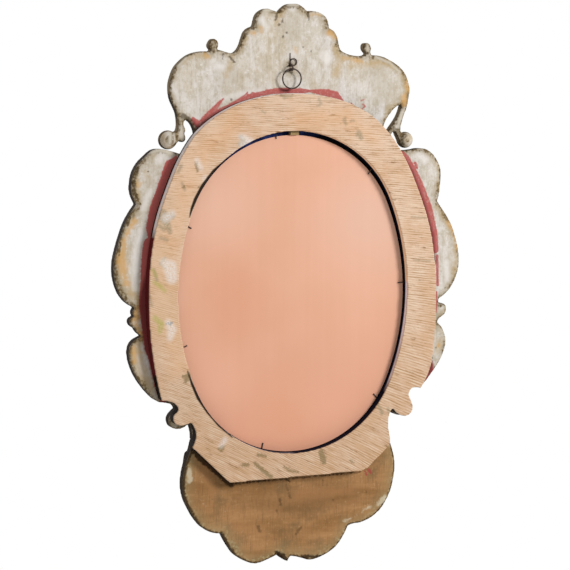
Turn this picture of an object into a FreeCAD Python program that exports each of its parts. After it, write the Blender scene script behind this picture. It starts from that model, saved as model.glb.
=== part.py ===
"""Baroque wall mirror, modelled from its back: carved boards round an oval pane.

Millimetres, +Z up.  The wall is the plane y = 0 and the carved front faces -Y.
The origin is the middle of the backing ring's top band, on its wall face.
Left and right are as seen from the front, so the right side lies at +X.
Outlines are drawn round the oval's centre, which lies centre_drop below the origin.
"""
import FreeCAD, Part
import math
import os
from FreeCAD import Placement, Rotation, Vector

doc = FreeCAD.newDocument("baroque_mirror")

# Driving dimensions
SIZES = [
    ("opening_width", 337, "oval opening of the backing ring, side to side"),
    ("opening_height", 448.5, "oval opening of the backing ring, top to bottom"),
    ("end_roundness_share", 0.92, "radius of the oval's top and bottom arcs, of half its width"),
    ("side_reach", 88, "from the opening to the outermost side lobe"),
    ("crest_reach", 174, "from the opening up to the top of the crest"),
    ("apron_reach", 157, "from the opening down to the apron's tip"),
    ("band_side", 42, "width of the backing ring's band at the sides"),
    ("band_top", 52, "width of the band at the top, and the origin is at its middle"),
    ("band_foot", 37, "width of the band over the cut-off foot"),
    ("ring_thickness", 18, "sawn pine of the backing ring"),
    ("board_thickness", 18, "side and apron boards"),
    ("crest_thickness", 14, "crest board"),
    ("sight_lip", 9, "how far the sight frame covers the pane's edge"),
    ("frame_lap", 16, "how far the sight frame reaches outside the opening"),
    ("roll_radius", 7, "outer roll of the sight frame"),
    ("roll_stand", 15, "height of the outer roll's centre over the frame's back"),
    ("bead_radius", 2.2, "bead along the sight edge"),
    ("bead_stand", 5, "height of the bead's centre over the frame's back"),
    ("glass_thickness", 4, "mirror pane"),
    ("coat_thickness", 0.5, "silvering and its copper-coloured paint"),
    ("glass_side_gap", 1.5, "pane to opening, each side"),
    ("glass_top_gap", 6, "pane to opening, top"),
    ("glass_bottom_gap", 1, "pane to opening, bottom"),
    ("sprig_radius", 0.9, "butt of a headless glazing sprig"),
    ("sprig_point", 0.3, "radius at a sprig's driven end"),
    ("sprig_show", 9, "length of sprig that lies over the pane"),
    ("sprig_grip", 10, "length of sprig in the ring"),
    ("sprig_lift", 0.05, "air between sprig and pane"),
    ("shim_width", 12, "wood chip wedged over the pane"),
    ("shim_depth", 9, "wood chip, front to back"),
    ("fit_air", 0.3, "air where a piece is laid in loosely"),
    ("ball_radius", 13, "carved ball under the right crest volute"),
    ("left_ball_radius", 11.5, "carved ball under the left crest volute"),
    ("ring_radius", 13.5, "hanging ring, to the middle of its wire"),
    ("ring_wire", 1, "radius of the hanging ring's wire"),
    ("eye_wire", 1.1, "radius of the eye's wire"),
    ("eye_bend", 3.4, "bend of the eye, to the middle of its wire"),
    ("eye_grip", 9, "how deep the eye's legs go into the crest"),
    ("eye_air", 0.08, "running air between ring and eye"),
    ("hang_stand", 8, "hanging ring's plane behind the crest board"),
    ("hang_side", 3, "eye to the right of the middle"),
    ("hang_rise", 85, "ring's pivot above the opening"),
    ("tail_length", 17, "spike of the eye's wire, laid up the board"),
    ("tail_loop", 4.6, "small loop of the eye's wire, to its middle"),
    ("tail_wire", 0.8, "radius of the eye's thinned tails"),
    ("rail_radius", 7, "half-round of the carved scrolls"),
    ("petal_root", 4, "radius of a carved petal at its root"),
    ("crest_petal_radius", 17, "radius of a crest shell's petal at its tip"),
    ("apron_petal_radius", 18, "radius of an apron shell's petal at its tip"),
    ("leaf_petal_radius", 9, "radius of a leaf's lobe at its tip"),
    ("carving_gap", 2.3, "from the sight frame to a carved shell"),
    ("petal_sink", 7, "how far the petals' axes lie inside the board"),
    ("leaf_sink", 2, "how far the leaf lobes' axes lie inside the board"),
]
sheet = doc.addObject("Spreadsheet::Sheet", "Sizes")
for row, (alias, value, note) in enumerate(SIZES, start=1):
    sheet.set("A%d" % row, alias)
    sheet.set("B%d" % row, str(value))
    sheet.set("C%d" % row, note)
    sheet.setAlias("B%d" % row, alias)
doc.recompute()


def size(alias):
    return float(sheet.get(alias))


centre_drop = (size("opening_height") + size("band_top")) / 2
CENTRE_DROP = "-(Sizes.opening_height + Sizes.band_top) / 2"
board_back = -size("ring_thickness")
board_front = board_back - size("board_thickness")
crest_front = board_back - size("crest_thickness")

# Outlines.  A point is a turn and a share.  The turn, in degrees from straight up and
# rightwards, is taken on a circle and stretched with it into the oval, and from there the
# point lies square out from the opening's edge by the share of the reach there.  Each
# outline is a list of stretches that meet in corners, and a stretch runs on from the last
# point of the one before.  The boards' ends lie on their seams, under the backing ring.
RIGHT_TOP_shares = (41.59, 0.245)
LEFT_TOP_shares = (-43.65, 0.329)
RIGHT_FOOT_shares = (139.52, 0.316)
LEFT_FOOT_shares = (-139.40, 0.305)
UPPER_SEAM_share = 0.870
LOWER_SEAM_share = -0.901

CREST_shares = [
    [RIGHT_TOP_shares, (39.76, 0.297), (38.26, 0.327), (37.03, 0.372), (36.38, 0.421), (36.20, 0.463)],
    [(36.45, 0.508)],
    [(37.74, 0.512), (38.30, 0.482), (38.65, 0.458), (39.62, 0.441), (40.21, 0.409), (41.10, 0.396),
     (41.93, 0.415), (42.04, 0.449)],
    [(44.36, 0.458)],
    [(43.40, 0.525), (41.89, 0.545), (40.74, 0.520)],
    [(39.68, 0.536), (38.35, 0.578), (37.27, 0.634), (36.76, 0.690), (36.26, 0.750), (35.32, 0.808),
     (34.37, 0.848), (32.76, 0.889), (31.04, 0.916), (29.16, 0.922), (26.62, 0.910), (24.25, 0.874),
     (22.09, 0.826)],
    [(21.29, 0.820)],
    [(21.75, 0.860), (21.02, 0.892), (20.04, 0.898), (19.30, 0.866), (19.45, 0.828),
     (20.23, 0.806)],
    [(19.22, 0.780), (18.06, 0.746), (16.51, 0.712)],
    [(14.86, 0.727), (14.02, 0.752), (13.09, 0.795), (11.98, 0.841), (10.82, 0.858), (9.74, 0.858)],
    [(9.23, 0.901), (8.50, 0.944), (7.44, 0.968), (5.97, 0.976), (4.57, 0.956), (3.25, 0.935)],
    [(2.40, 0.965), (1.16, 0.993), (-0.45, 1.000), (-1.48, 0.998), (-2.55, 0.979), (-3.57, 0.949)],
    [(-5.58, 0.958), (-6.77, 0.955), (-7.84, 0.944), (-8.92, 0.908), (-9.49, 0.852)],
    [(-10.89, 0.841), (-12.27, 0.798), (-13.00, 0.753), (-13.84, 0.717), (-15.50, 0.708),
     (-18.19, 0.725), (-20.49, 0.767)],
    [(-20.95, 0.795)],
    [(-19.95, 0.802), (-19.42, 0.822), (-19.46, 0.858), (-20.21, 0.876), (-21.16, 0.863),
     (-21.57, 0.825)],
    [(-22.16, 0.803)],
    [(-25.04, 0.858), (-26.87, 0.876), (-29.55, 0.896), (-31.69, 0.895), (-33.89, 0.863),
     (-35.18, 0.828), (-36.22, 0.771), (-37.50, 0.695), (-38.19, 0.632), (-38.96, 0.578),
     (-39.92, 0.526), (-40.84, 0.499)],
    [(-42.50, 0.529), (-43.77, 0.516), (-44.38, 0.471)],
    [(-43.53, 0.437), (-41.89, 0.442), (-40.49, 0.450), (-39.67, 0.458)],
    [(-39.15, 0.429), (-39.25, 0.392), (-38.80, 0.374), (-38.10, 0.383), (-37.75, 0.430),
     (-37.55, 0.495), (-37.20, 0.565), (-36.65, 0.622), (-35.85, 0.677)],
    [(-35.12, 0.619), (-34.92, 0.555), (-34.96, 0.482), (-35.35, 0.419), (-36.23, 0.363)],
    [(-39.49, 0.357), LEFT_TOP_shares],
]
RIGHT_shares = [
    [RIGHT_TOP_shares, (43.61, 0.285)],
    [(44.58, 0.345), (45.78, 0.462), (46.93, 0.572), (48.14, 0.645), (50.33, 0.702), (52.87, 0.761),
     (55.03, 0.789), (57.83, 0.793), (60.23, 0.776), (61.80, 0.738), (63.06, 0.692)],
    [(65.78, 0.755), (69.20, 0.826), (73.04, 0.883), (77.05, 0.937), (80.45, 0.971), (83.22, 0.974),
     (86.54, 0.938), (89.75, 0.860), (92.05, 0.747), (93.40, 0.625)],
    [(94.18, 0.667), (94.92, 0.675), (96.05, 0.640)],
    [(96.22, 0.692), (96.87, 0.725), (97.69, 0.732), (98.70, 0.704), (99.45, 0.648)],
    [(100.50, 0.628), (101.57, 0.583), (102.30, 0.540)],
    [(102.61, 0.624), (103.34, 0.695), (104.45, 0.742), (105.83, 0.764), (107.85, 0.768),
     (110.14, 0.752), (112.38, 0.724), (114.73, 0.685), (117.27, 0.633), (119.98, 0.571),
     (122.07, 0.517), (123.75, 0.455)],
    [(124.75, 0.375), (126.41, 0.301), (127.96, 0.289)],
    [(128.19, 0.347), (128.92, 0.408), (130.12, 0.436), (131.53, 0.435), (132.80, 0.396),
     (134.03, 0.276)],
    [(134.28, 0.228)],
    [(136.67, 0.250), RIGHT_FOOT_shares],
]
LEFT_shares = [
    [LEFT_TOP_shares, (-45.72, 0.439)],
    [(-47.02, 0.532), (-47.75, 0.604), (-48.99, 0.680), (-50.23, 0.723), (-52.06, 0.763),
     (-54.32, 0.788), (-57.04, 0.778), (-59.65, 0.744), (-61.32, 0.723), (-63.39, 0.682)],
    [(-65.85, 0.738), (-69.03, 0.822), (-72.27, 0.891), (-75.69, 0.945), (-79.26, 0.986),
     (-82.50, 1.002), (-85.38, 0.980), (-87.95, 0.927), (-90.48, 0.840), (-92.29, 0.744),
     (-93.50, 0.649)],
    [(-95.08, 0.651)],
    [(-95.00, 0.726), (-95.44, 0.773), (-96.47, 0.789), (-97.78, 0.777), (-98.85, 0.728),
     (-99.51, 0.683), (-101.01, 0.645)],
    [(-102.29, 0.726), (-104.30, 0.787), (-106.61, 0.815), (-109.07, 0.798), (-111.82, 0.761),
     (-114.69, 0.699), (-117.81, 0.628), (-120.48, 0.567), (-122.68, 0.475)],
    [(-123.15, 0.386), (-123.82, 0.336), (-124.74, 0.319), (-125.88, 0.335), (-127.11, 0.386),
     (-128.41, 0.440), (-130.12, 0.451), (-131.71, 0.418), (-132.71, 0.350), (-132.86, 0.263)],
    [(-132.24, 0.189)],
    [(-134.28, 0.191), (-136.25, 0.222), LEFT_FOOT_shares],
]
APRON_shares = [
    [RIGHT_FOOT_shares, (140.94, 0.393), (142.51, 0.512), (144.11, 0.617), (146.13, 0.716),
     (148.41, 0.786), (151.14, 0.837), (153.79, 0.878), (156.28, 0.901), (158.82, 0.893),
     (161.26, 0.860)],
    [(162.87, 0.910), (164.40, 0.956), (166.13, 1.001), (168.74, 1.029), (171.30, 1.036),
     (172.51, 1.024), (174.06, 0.994), (175.78, 0.960), (176.89, 0.936)],
    [(178.41, 0.980), (179.57, 1.000)],
    [(-179.73, 0.955)],
    [(-178.40, 0.964), (-176.91, 0.984), (-174.72, 1.018), (-172.69, 1.018), (-170.85, 1.006),
     (-169.17, 0.990), (-167.42, 0.965), (-165.73, 0.921), (-164.26, 0.872), (-163.30, 0.838)],
    [(-161.88, 0.845), (-160.28, 0.869), (-158.60, 0.884), (-156.55, 0.897), (-153.93, 0.892),
     (-151.22, 0.861), (-148.48, 0.808), (-145.85, 0.734), (-143.58, 0.652), (-141.87, 0.557),
     (-140.34, 0.447), LEFT_FOOT_shares],
]
# The backing ring, round from its right side: its band and its cut-off foot are shares of
# the band's widths, and its ears follow the side boards.
RING_BAND_shares = [
    [(122.48, 1.243), (112.46, 1.124), (101.45, 1.037), (87.47, 1.005), (76.65, 1.011),
     (65.69, 1.008), (55.69, 0.983), (45.29, 1.057), (37.65, 1.125), (30.61, 1.115), (22.23, 1.076),
     (12.74, 1.023), (2.42, 0.992), (-8.05, 0.999), (-19.03, 1.052), (-28.98, 1.082),
     (-38.10, 1.043), (-46.86, 0.975), (-58.14, 0.956), (-69.48, 1.023), (-80.70, 1.048),
     (-93.61, 1.078), (-107.06, 1.198), (-115.77, 1.302), (-122.48, 1.216)],
]
LEFT_EAR_shares = [
    [(-122.90, 0.383), (-123.58, 0.333), (-124.64, 0.313), (-125.95, 0.328), (-127.16, 0.382),
     (-128.51, 0.432), (-130.12, 0.438), (-131.50, 0.409), (-132.43, 0.344), (-132.62, 0.270),
     (-131.95, 0.193)],
    [(-134.02, 0.192), (-136.13, 0.227), (-138.19, 0.282), (-139.80, 0.350), (-141.83, 0.413)],
]
RING_FOOT_shares = [
    [(-151.94, 1.527)],
    [(-154.16, 1.502)],
    [(156.31, 1.539)],
    [(139.16, 1.238)],
]
RIGHT_EAR_shares = [
    [(138.36, 0.311), (136.78, 0.257), (134.89, 0.234), (132.83, 0.231)],
    [(132.50, 0.289), (131.43, 0.366), (130.23, 0.405), (128.75, 0.406), (127.87, 0.379),
     (127.66, 0.332)],
    [(126.96, 0.302), (125.59, 0.305), (124.26, 0.342), (123.38, 0.391)],
]

# Centre lines of the carved scrolls on the right half, and of their left twins mirrored
SCROLLS_shares = {
    "crest_scroll": [(18.03, 0.638), (22.00, 0.753), (25.70, 0.820), (29.00, 0.790), (30.90, 0.680),
                     (30.40, 0.555), (27.60, 0.505), (25.40, 0.555), (26.00, 0.635),
                     (28.20, 0.640)],
    "upper_scroll": [(47.89, 0.455), (50.85, 0.615), (54.44, 0.697), (58.10, 0.677), (60.28, 0.566),
                     (58.67, 0.470), (55.94, 0.493), (56.08, 0.573)],
    "middle_scroll": [(65.90, 0.676), (71.90, 0.761), (79.48, 0.833), (85.79, 0.803),
                      (89.74, 0.627), (88.72, 0.452), (84.95, 0.421), (83.78, 0.556)],
    "lower_scroll": [(104.63, 0.563), (107.98, 0.635), (112.82, 0.621), (117.40, 0.530),
                     (119.20, 0.420)],
    "apron_scroll": [(142.79, 0.426), (146.48, 0.596), (150.68, 0.740), (155.98, 0.812),
                     (160.44, 0.775), (162.59, 0.643), (160.18, 0.532), (157.23, 0.605)],
}
# Carved fans: where each petal's tip lies
CREST_FAN_shares = [(-14.9, 0.565), (-11.6, 0.733), (-6.4, 0.869), (0, 0.924),
                    (6.4, 0.869), (11.6, 0.733), (14.9, 0.565)]
APRON_FAN_shares = [(165.4, 0.612), (168.3, 0.804), (173.7, 0.916), (180, 0.893),
                    (-173.7, 0.916), (-168.3, 0.804), (-165.4, 0.612)]
# Leaf sprays on the right half: their root, then their lobes' tips
LEAVES_shares = {
    "crest_leaf": ((21.4, 0.226), [(22.7, 0.409), (26.4, 0.371), (28.6, 0.285)]),
    "apron_leaf": ((158.5, 0.286), [(150.2, 0.360), (152.4, 0.462), (156.2, 0.469), (159.4, 0.458)]),
    "side_leaf": ((71.1, 0.417), [(62.0, 0.421), (66.8, 0.547), (76.9, 0.496), (79.8, 0.309)]),
}

# Glazing sprigs: x and z of the spot where each enters the ring, as shares of the opening's
# half width and half height.  Only the direction counts: it is carried out to the opening.
SPRIGS_shares = [(0.148, 0.968), (0.891, 0.420), (-1.010, 0.044), (-0.718, 0.784),
                 (-0.802, -0.721), (0.262, -0.983), (0.928, -0.313)]
SHIM_side_share = -0.008


def side_arc_radius(across, high, end_radius):
    """Radius of the long side arcs of a four-centre oval with these half axes."""
    return (high ** 2 - 2 * high * end_radius + across ** 2) / (2 * (across - end_radius))


def arcs_centres(across, high, end_radius):
    """Where the oval's upper end arc and its right side arc have their centres."""
    side_radius = side_arc_radius(across, high, end_radius)
    return Vector(0, high - end_radius, 0), Vector(across - side_radius, 0, 0)


BOARDS = ("side_reach", "crest_reach", "apron_reach")
BANDS = ("band_side", "band_top", "band_foot")


def place(point, reaches=BOARDS):
    """A point of an outline in millimetres.  The reach changes smoothly round the oval."""
    turn, out_share = point
    across = size("opening_width") / 2
    high = size("opening_height") / 2
    end_radius = across * size("end_roundness_share")
    end_centre, side_centre = arcs_centres(across, high, end_radius)
    sine = math.sin(math.radians(turn))
    cosine = math.cos(math.radians(turn))
    ray = Vector(across * abs(sine), high * abs(cosine), 0)
    meet = end_centre + (end_centre - side_centre).normalize() * end_radius
    on_end = ray.x * meet.y < ray.y * meet.x
    centre = end_centre if on_end else side_centre
    radius = end_radius if on_end else side_arc_radius(across, high, end_radius)
    along = ray.dot(centre)
    spare = ray.dot(ray) * (radius ** 2 - centre.dot(centre))
    edge = ray * ((along + math.sqrt(along ** 2 + spare)) / ray.dot(ray))
    side_way, up_way, down_way = [size(alias) for alias in reaches]
    end_way = up_way if cosine > 0 else down_way
    reach = side_way + (end_way - side_way) * cosine ** 2
    spot = edge + (edge - centre).normalize() * (reach * out_share)
    return Vector(math.copysign(spot.x, sine), math.copysign(spot.y, cosine), 0)


# How little of its chord an arc may rise and still be drawn as a line, and how far apart,
# as a share of the opening's width, two points may lie and still be one.
STRAIGHT_share = 0.0005
SAME_share = 0.000001


def curve(start, along, end, backwards=False):
    """The arc that leaves start in the direction along and reaches end, or a line."""
    chord = end - start
    side = Vector(-along.y, along.x, 0)
    lean = chord.dot(side)
    ends = (end, start) if backwards else (start, end)
    if abs(lean) < chord.Length * STRAIGHT_share:
        return Part.LineSegment(ends[0], ends[1])
    radius = chord.dot(chord) / (2 * lean)
    centre = start + side * radius
    middle = ((start - centre) + (end - centre)).normalize() * abs(radius)
    if chord.dot(along) < 0:
        middle = middle * -1
    return Part.Arc(ends[0], centre + middle, ends[1])


def mirrored(tangent, run):
    """The direction at the far end of an arc over this run that has this tangent at one end."""
    return (run * (2 * run.dot(tangent) / run.dot(run)) - tangent).normalize()


def smooth(points):
    """Pairs of arcs through the points that meet without a kink."""
    if len(points) == 2:
        return [Part.LineSegment(points[0], points[1])]
    runs = [after - before for before, after in zip(points, points[1:])]
    tangents = []
    for before, after in zip(runs, runs[1:]):
        weighted = before * (after.Length / before.Length) + after * (before.Length / after.Length)
        tangents.append(weighted.normalize())
    first = mirrored(tangents[0], runs[0])
    last = mirrored(tangents[-1], runs[-1])
    tangents = [first] + tangents + [last]
    curves = []
    for start, end, leave, arrive in zip(points, points[1:], tangents, tangents[1:]):
        chord = end - start
        both = leave + arrive
        bend = 2 * (1 - leave.dot(arrive))
        push = chord.dot(both)
        if bend < SAME_share:
            reach = chord.dot(chord) / (2 * push)
        else:
            reach = (-push + math.sqrt(push * push + bend * chord.dot(chord))) / bend
        joint = (start + leave * reach + end - arrive * reach) * 0.5
        curves.append(curve(start, leave, joint))
        curves.append(curve(end, arrive * -1, joint, backwards=True))
    return curves


def spots(stretches, reaches=BOARDS):
    """The points of an outline's stretches in millimetres."""
    return [[place(point, reaches) for point in stretch] for stretch in stretches]


def seamed(stretches, first_seam, last_seam):
    """A board's points, with its two ends laid on its seams with its neighbours."""
    points = spots(stretches)
    points[0][0].y = first_seam
    points[-1][-1].y = last_seam
    return points


def outline(stretches, closing=()):
    """All curves of a closed outline: its stretches, then straight lines through closing."""
    curves = []
    last = None
    for stretch in stretches:
        points = stretch if last is None else [last] + stretch
        curves += smooth(points)
        last = points[-1]
    for point in list(closing) + [stretches[0][0]]:
        if (point - last).Length > size("opening_width") * SAME_share:
            curves.append(Part.LineSegment(last, point))
            last = point
    return curves


def oval(grow, lower=0, slim=0, short=0):
    """The opening's four-centre oval, grown all round, then slimmed, shortened or lowered."""
    across = size("opening_width") / 2 + grow - slim
    high = size("opening_height") / 2 + grow - short
    end_radius = size("opening_width") / 2 * size("end_roundness_share") + grow - slim
    end_centre, side_centre = arcs_centres(across, high, end_radius)
    meet = end_centre + (end_centre - side_centre).normalize() * end_radius
    meets = {(sx, sz): Vector(sx * meet.x, sz * meet.y - lower, 0) for sx in (-1, 1) for sz in (-1, 1)}
    return [
        Part.Arc(meets[1, -1], Vector(across, -lower, 0), meets[1, 1]),
        Part.Arc(meets[1, 1], Vector(0, high - lower, 0), meets[-1, 1]),
        Part.Arc(meets[-1, 1], Vector(-across, -lower, 0), meets[-1, -1]),
        Part.Arc(meets[-1, -1], Vector(0, -high - lower, 0), meets[1, -1]),
    ]


def new_body(label, level):
    """A body whose own plane y = 0 lies at the expression level in the part's frame."""
    body = doc.addObject("PartDesign::Body", label)
    body.Label = label
    body.setExpression("Placement.Base.y", level)
    body.setExpression("Placement.Base.z", CENTRE_DROP)
    return body


def new_sketch(body, name, role="XZ_Plane"):
    sketch = body.newObject("Sketcher::SketchObject", name)
    plane = [datum for datum in body.Origin.OriginFeatures if datum.Role == role][0]
    sketch.AttachmentSupport = [(plane, "")]
    sketch.MapMode = "FlatFace"
    return sketch


def pad(body, name, curves, length):
    """Extrude curves on the body's XZ plane towards the front by the expression length."""
    sketch = new_sketch(body, name + "_outline")
    sketch.addGeometry(curves, False)
    slab = body.newObject("PartDesign::Pad", name)
    slab.Profile = sketch
    slab.setExpression("Length", length)


def pocket(body, name, curves, length):
    """Cut curves out of the body from its XZ plane towards the front."""
    sketch = new_sketch(body, name + "_outline")
    sketch.addGeometry(curves, False)
    cut = body.newObject("PartDesign::Pocket", name)
    cut.Profile = sketch
    cut.Reversed = True
    cut.setExpression("Length", length)


def circle(x, z, radius):
    return Part.Circle(Vector(x, z, 0), Vector(0, 0, 1), radius)


pieces = []


def add_shape(label, shape, level=0):
    """A piece given as a shape drawn round the oval's centre, at depth level."""
    piece = doc.addObject("Part::Feature", label)
    piece.Label = label
    piece.Shape = shape
    piece.Placement = Placement(Vector(0, level, -centre_drop), Rotation())
    pieces.append(piece)


# Carved boards, glued edge to edge behind the sight frame
SEAT_GROW = size("frame_lap")
hang_x = size("hang_side")
hang_z = size("opening_height") / 2 + size("hang_rise")
eye_z = hang_z + size("eye_bend") - size("eye_wire") - size("ring_wire") - size("eye_air")

upper_seam = UPPER_SEAM_share * size("opening_height") / 2
lower_seam = LOWER_SEAM_share * size("opening_height") / 2

crest = new_body("crest_panel", "-Sizes.ring_thickness")
pad(crest, "crest_board", outline(seamed(CREST_shares, upper_seam, upper_seam)),
    "Sizes.crest_thickness")
pocket(crest, "crest_seat", oval(SEAT_GROW), "2 * Sizes.crest_thickness")
pocket(crest, "eye_holes", [circle(hang_x, eye_z + size("eye_bend"), size("eye_wire")),
                            circle(hang_x, eye_z - size("eye_bend"), size("eye_wire"))],
       "Sizes.eye_grip")
# The balls' poles face the wall and the front, and their seams stay clear of the board's edge.
BALL_TURN = Rotation(Vector(0, 1, 0), 90).multiply(Rotation(Vector(1, 0, 0), 90))
BALLS_shares = {"ball_radius": (43.91, 0.547), "left_ball_radius": (-43.65, 0.509)}
for radius, shares in BALLS_shares.items():
    centre = place(shares)
    ball = crest.newObject("PartDesign::AdditiveSphere", radius.replace("radius", "carving"))
    ball.setExpression("Radius", "Sizes." + radius)
    ball.Placement = Placement(Vector(centre.x, -size("crest_thickness") / 2, centre.y), BALL_TURN)
pieces.append(crest)

for name, shares in (("right", RIGHT_shares), ("left", LEFT_shares)):
    panel = new_body(name + "_side_panel", "-Sizes.ring_thickness")
    closing = [Vector(0, lower_seam, 0), Vector(0, upper_seam, 0)]
    pad(panel, name + "_board", outline(seamed(shares, upper_seam, lower_seam), closing),
        "Sizes.board_thickness")
    pocket(panel, name + "_seat", oval(SEAT_GROW), "2 * Sizes.board_thickness")
    pieces.append(panel)

apron = new_body("apron_panel", "-Sizes.ring_thickness")
pad(apron, "apron_board", outline(seamed(APRON_shares, lower_seam, lower_seam)),
    "Sizes.board_thickness")
pocket(apron, "apron_seat", oval(SEAT_GROW), "2 * Sizes.board_thickness")
pieces.append(apron)

# Sight frame: the moulded oval whose lip carries the pane
sight = new_body("sight_frame", "-Sizes.ring_thickness")
edge_x = size("opening_width") / 2
lip_x = edge_x - size("sight_lip")
lap_x = edge_x + size("frame_lap")
roll = size("roll_radius")
bead = size("bead_radius")
stand = -size("roll_stand")
bead_stand = -size("bead_stand")
hollow_top = Vector(lap_x - 2 * roll, stand, 0)
hollow_foot = Vector(lip_x + 2 * bead, bead_stand, 0)
hollow_middle = Vector((hollow_top.x + 2 * hollow_foot.x) / 3, (hollow_top.y + 2 * hollow_foot.y) / 3, 0)
hollow_middle += Vector(1, 1, 0).normalize() * (bead / 2)
profile = new_sketch(sight, "sight_profile", "XY_Plane")
profile.addGeometry([
    Part.LineSegment(Vector(lip_x, 0, 0), Vector(lap_x, 0, 0)),
    Part.LineSegment(Vector(lap_x, 0, 0), Vector(lap_x, stand, 0)),
    Part.Arc(Vector(lap_x, stand, 0), Vector(lap_x - roll, stand - roll, 0), hollow_top),
    Part.Arc(hollow_top, hollow_middle, hollow_foot),
    Part.Arc(hollow_foot, Vector(lip_x + bead, bead_stand - bead, 0), Vector(lip_x, bead_stand, 0)),
    Part.LineSegment(Vector(lip_x, bead_stand, 0), Vector(lip_x, 0, 0)),
], False)
path = new_sketch(sight, "sight_path")
path.addGeometry(oval(0), False)
moulding = sight.newObject("PartDesign::AdditivePipe", "sight_moulding")
moulding.Profile = profile
moulding.Spine = path
pieces.append(sight)


# Backing ring: sawn pine over the boards' joints, with its ears, necks and cut-off foot
blank = new_body("ring_blank", "0 * Sizes.ring_thickness")
ring_points = (spots(RING_BAND_shares, BANDS) + spots(LEFT_EAR_shares)
               + spots(RING_FOOT_shares, BANDS) + spots(RIGHT_EAR_shares))
ring_points[-1].append(ring_points[0][0])
pad(blank, "ring_plank", outline(ring_points), "Sizes.ring_thickness")
pocket(blank, "ring_opening", oval(0), "2 * Sizes.ring_thickness")


def sprig_spot(shares):
    """Where a sprig enters the ring, and the direction from there into the pine."""
    x_share, z_share = shares
    aim = Vector(x_share * size("opening_width") / 2, z_share * size("opening_height") / 2, 0)
    ray = Part.LineSegment(Vector(0, 0, 0), aim * 2)
    spots = [Vector(hit.X, hit.Y, hit.Z) for arc in oval(0) for hit in ray.intersect(arc)]
    spot = max(spots, key=aim.dot)
    return spot, Vector(spot.x, spot.y, 0).normalize()


coat_back = board_back + size("glass_thickness") + size("coat_thickness")
sprig_level = coat_back + size("sprig_radius") + size("sprig_lift")
sprigs = []
for number, shares in enumerate(SPRIGS_shares, start=1):
    spot, inward = sprig_spot(shares)
    start = spot - inward * size("sprig_show")
    sprig = doc.addObject("Part::Cone", "sprig_%d" % number)
    sprig.Label = "sprig_%d" % number
    sprig.setExpression("Radius1", "Sizes.sprig_radius")
    sprig.setExpression("Radius2", "Sizes.sprig_point")
    sprig.setExpression("Height", "Sizes.sprig_show + Sizes.sprig_grip")
    turn = Rotation(Vector(0, 0, 1), Vector(inward.x, 0, inward.y))
    sprig.Placement = Placement(Vector(start.x, sprig_level, start.y - centre_drop), turn)
    sprigs.append(sprig)

nails = doc.addObject("Part::MultiFuse", "sprig_holes")
nails.Shapes = sprigs
backing = doc.addObject("Part::Cut", "backing_ring")
backing.Label = "backing_ring"
backing.Base = blank
backing.Tool = nails
pieces.append(backing)
pieces += sprigs


# Mirror pane and the coat on its back
def pane(label, level, thickness):
    body = new_body(label, level)
    shape = oval(0, (size("glass_top_gap") - size("glass_bottom_gap")) / 2,
                 size("glass_side_gap"), (size("glass_top_gap") + size("glass_bottom_gap")) / 2)
    pad(body, label + "_sheet", shape, thickness)
    pieces.append(body)


pane("mirror_coat", "-Sizes.ring_thickness + Sizes.glass_thickness + Sizes.coat_thickness",
     "Sizes.coat_thickness")
pane("mirror_glass", "-Sizes.ring_thickness + Sizes.glass_thickness", "Sizes.glass_thickness")

# Wood chip wedged between the pane's top edge and the ring
shim = doc.addObject("Part::Box", "top_shim")
shim.Label = "top_shim"
shim.setExpression("Length", "Sizes.shim_width")
shim.setExpression("Width", "Sizes.shim_depth")
shim.setExpression("Height", "Sizes.glass_top_gap - 2 * Sizes.fit_air")
shim_x = (SHIM_side_share * size("opening_width") - size("shim_width")) / 2
shim_z = size("opening_height") / 2 - size("glass_top_gap") + size("fit_air") - centre_drop
shim.Placement = Placement(Vector(shim_x, board_back, shim_z), Rotation())
pieces.append(shim)


# Hanger: a bent wire eye with its thinned tails laid up the board, and the ring in it
def sweep(curves, radius):
    """A wire of this radius along curves, which run on from one another."""
    path = Part.Wire([curve.toShape() for curve in curves])
    first = path.OrderedEdges[0]
    start = first.valueAt(first.FirstParameter)
    along = first.tangentAt(first.FirstParameter)
    section = Part.Wire(Part.Circle(start, along, radius).toShape())
    return path.makePipeShell([section], True, False)


eye_reach = size("hang_stand")
bend = size("eye_bend")
low_leg = Vector(hang_x, -size("eye_grip"), eye_z - bend)
low_turn = Vector(hang_x, eye_reach, eye_z - bend)
far_turn = Vector(hang_x, eye_reach + bend, eye_z)
high_turn = Vector(hang_x, eye_reach, eye_z + bend)
high_leg = Vector(hang_x, -size("eye_grip"), eye_z + bend)
eye_solid = sweep([Part.LineSegment(low_leg, low_turn), Part.Arc(low_turn, far_turn, high_turn),
                   Part.LineSegment(high_turn, high_leg)], size("eye_wire"))
tail = size("tail_wire")
spike_foot = Vector(hang_x, tail, eye_z + bend)
spike = Part.makeCone(tail, tail / 2, size("tail_length"), spike_foot, Vector(0, 0, 1))
loop_centre = Vector(hang_x - size("tail_loop"), 2 * tail, eye_z + bend + size("tail_loop"))
tail_loop = Part.makeTorus(size("tail_loop"), tail, loop_centre, Vector(0, 1, 0))
eye_solid = eye_solid.fuse([spike, tail_loop]).removeSplitter()
add_shape("hanger_eye", eye_solid, board_back)

hanging_ring = doc.addObject("Part::Torus", "hanging_ring")
hanging_ring.Label = "hanging_ring"
hanging_ring.setExpression("Radius1", "Sizes.ring_radius")
hanging_ring.setExpression("Radius2", "Sizes.ring_wire")
ring_place = Vector(hang_x, board_back + size("hang_stand"), hang_z - size("ring_radius") - centre_drop)
hanging_ring.Placement = Placement(ring_place, Rotation(Vector(1, 0, 0), 90))
pieces.append(hanging_ring)
print("ring pivot", hang_x, board_back + size("hang_stand"), hang_z - centre_drop)


# Carving on the front
FAR = 4 * (size("opening_width") + size("opening_height"))


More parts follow.
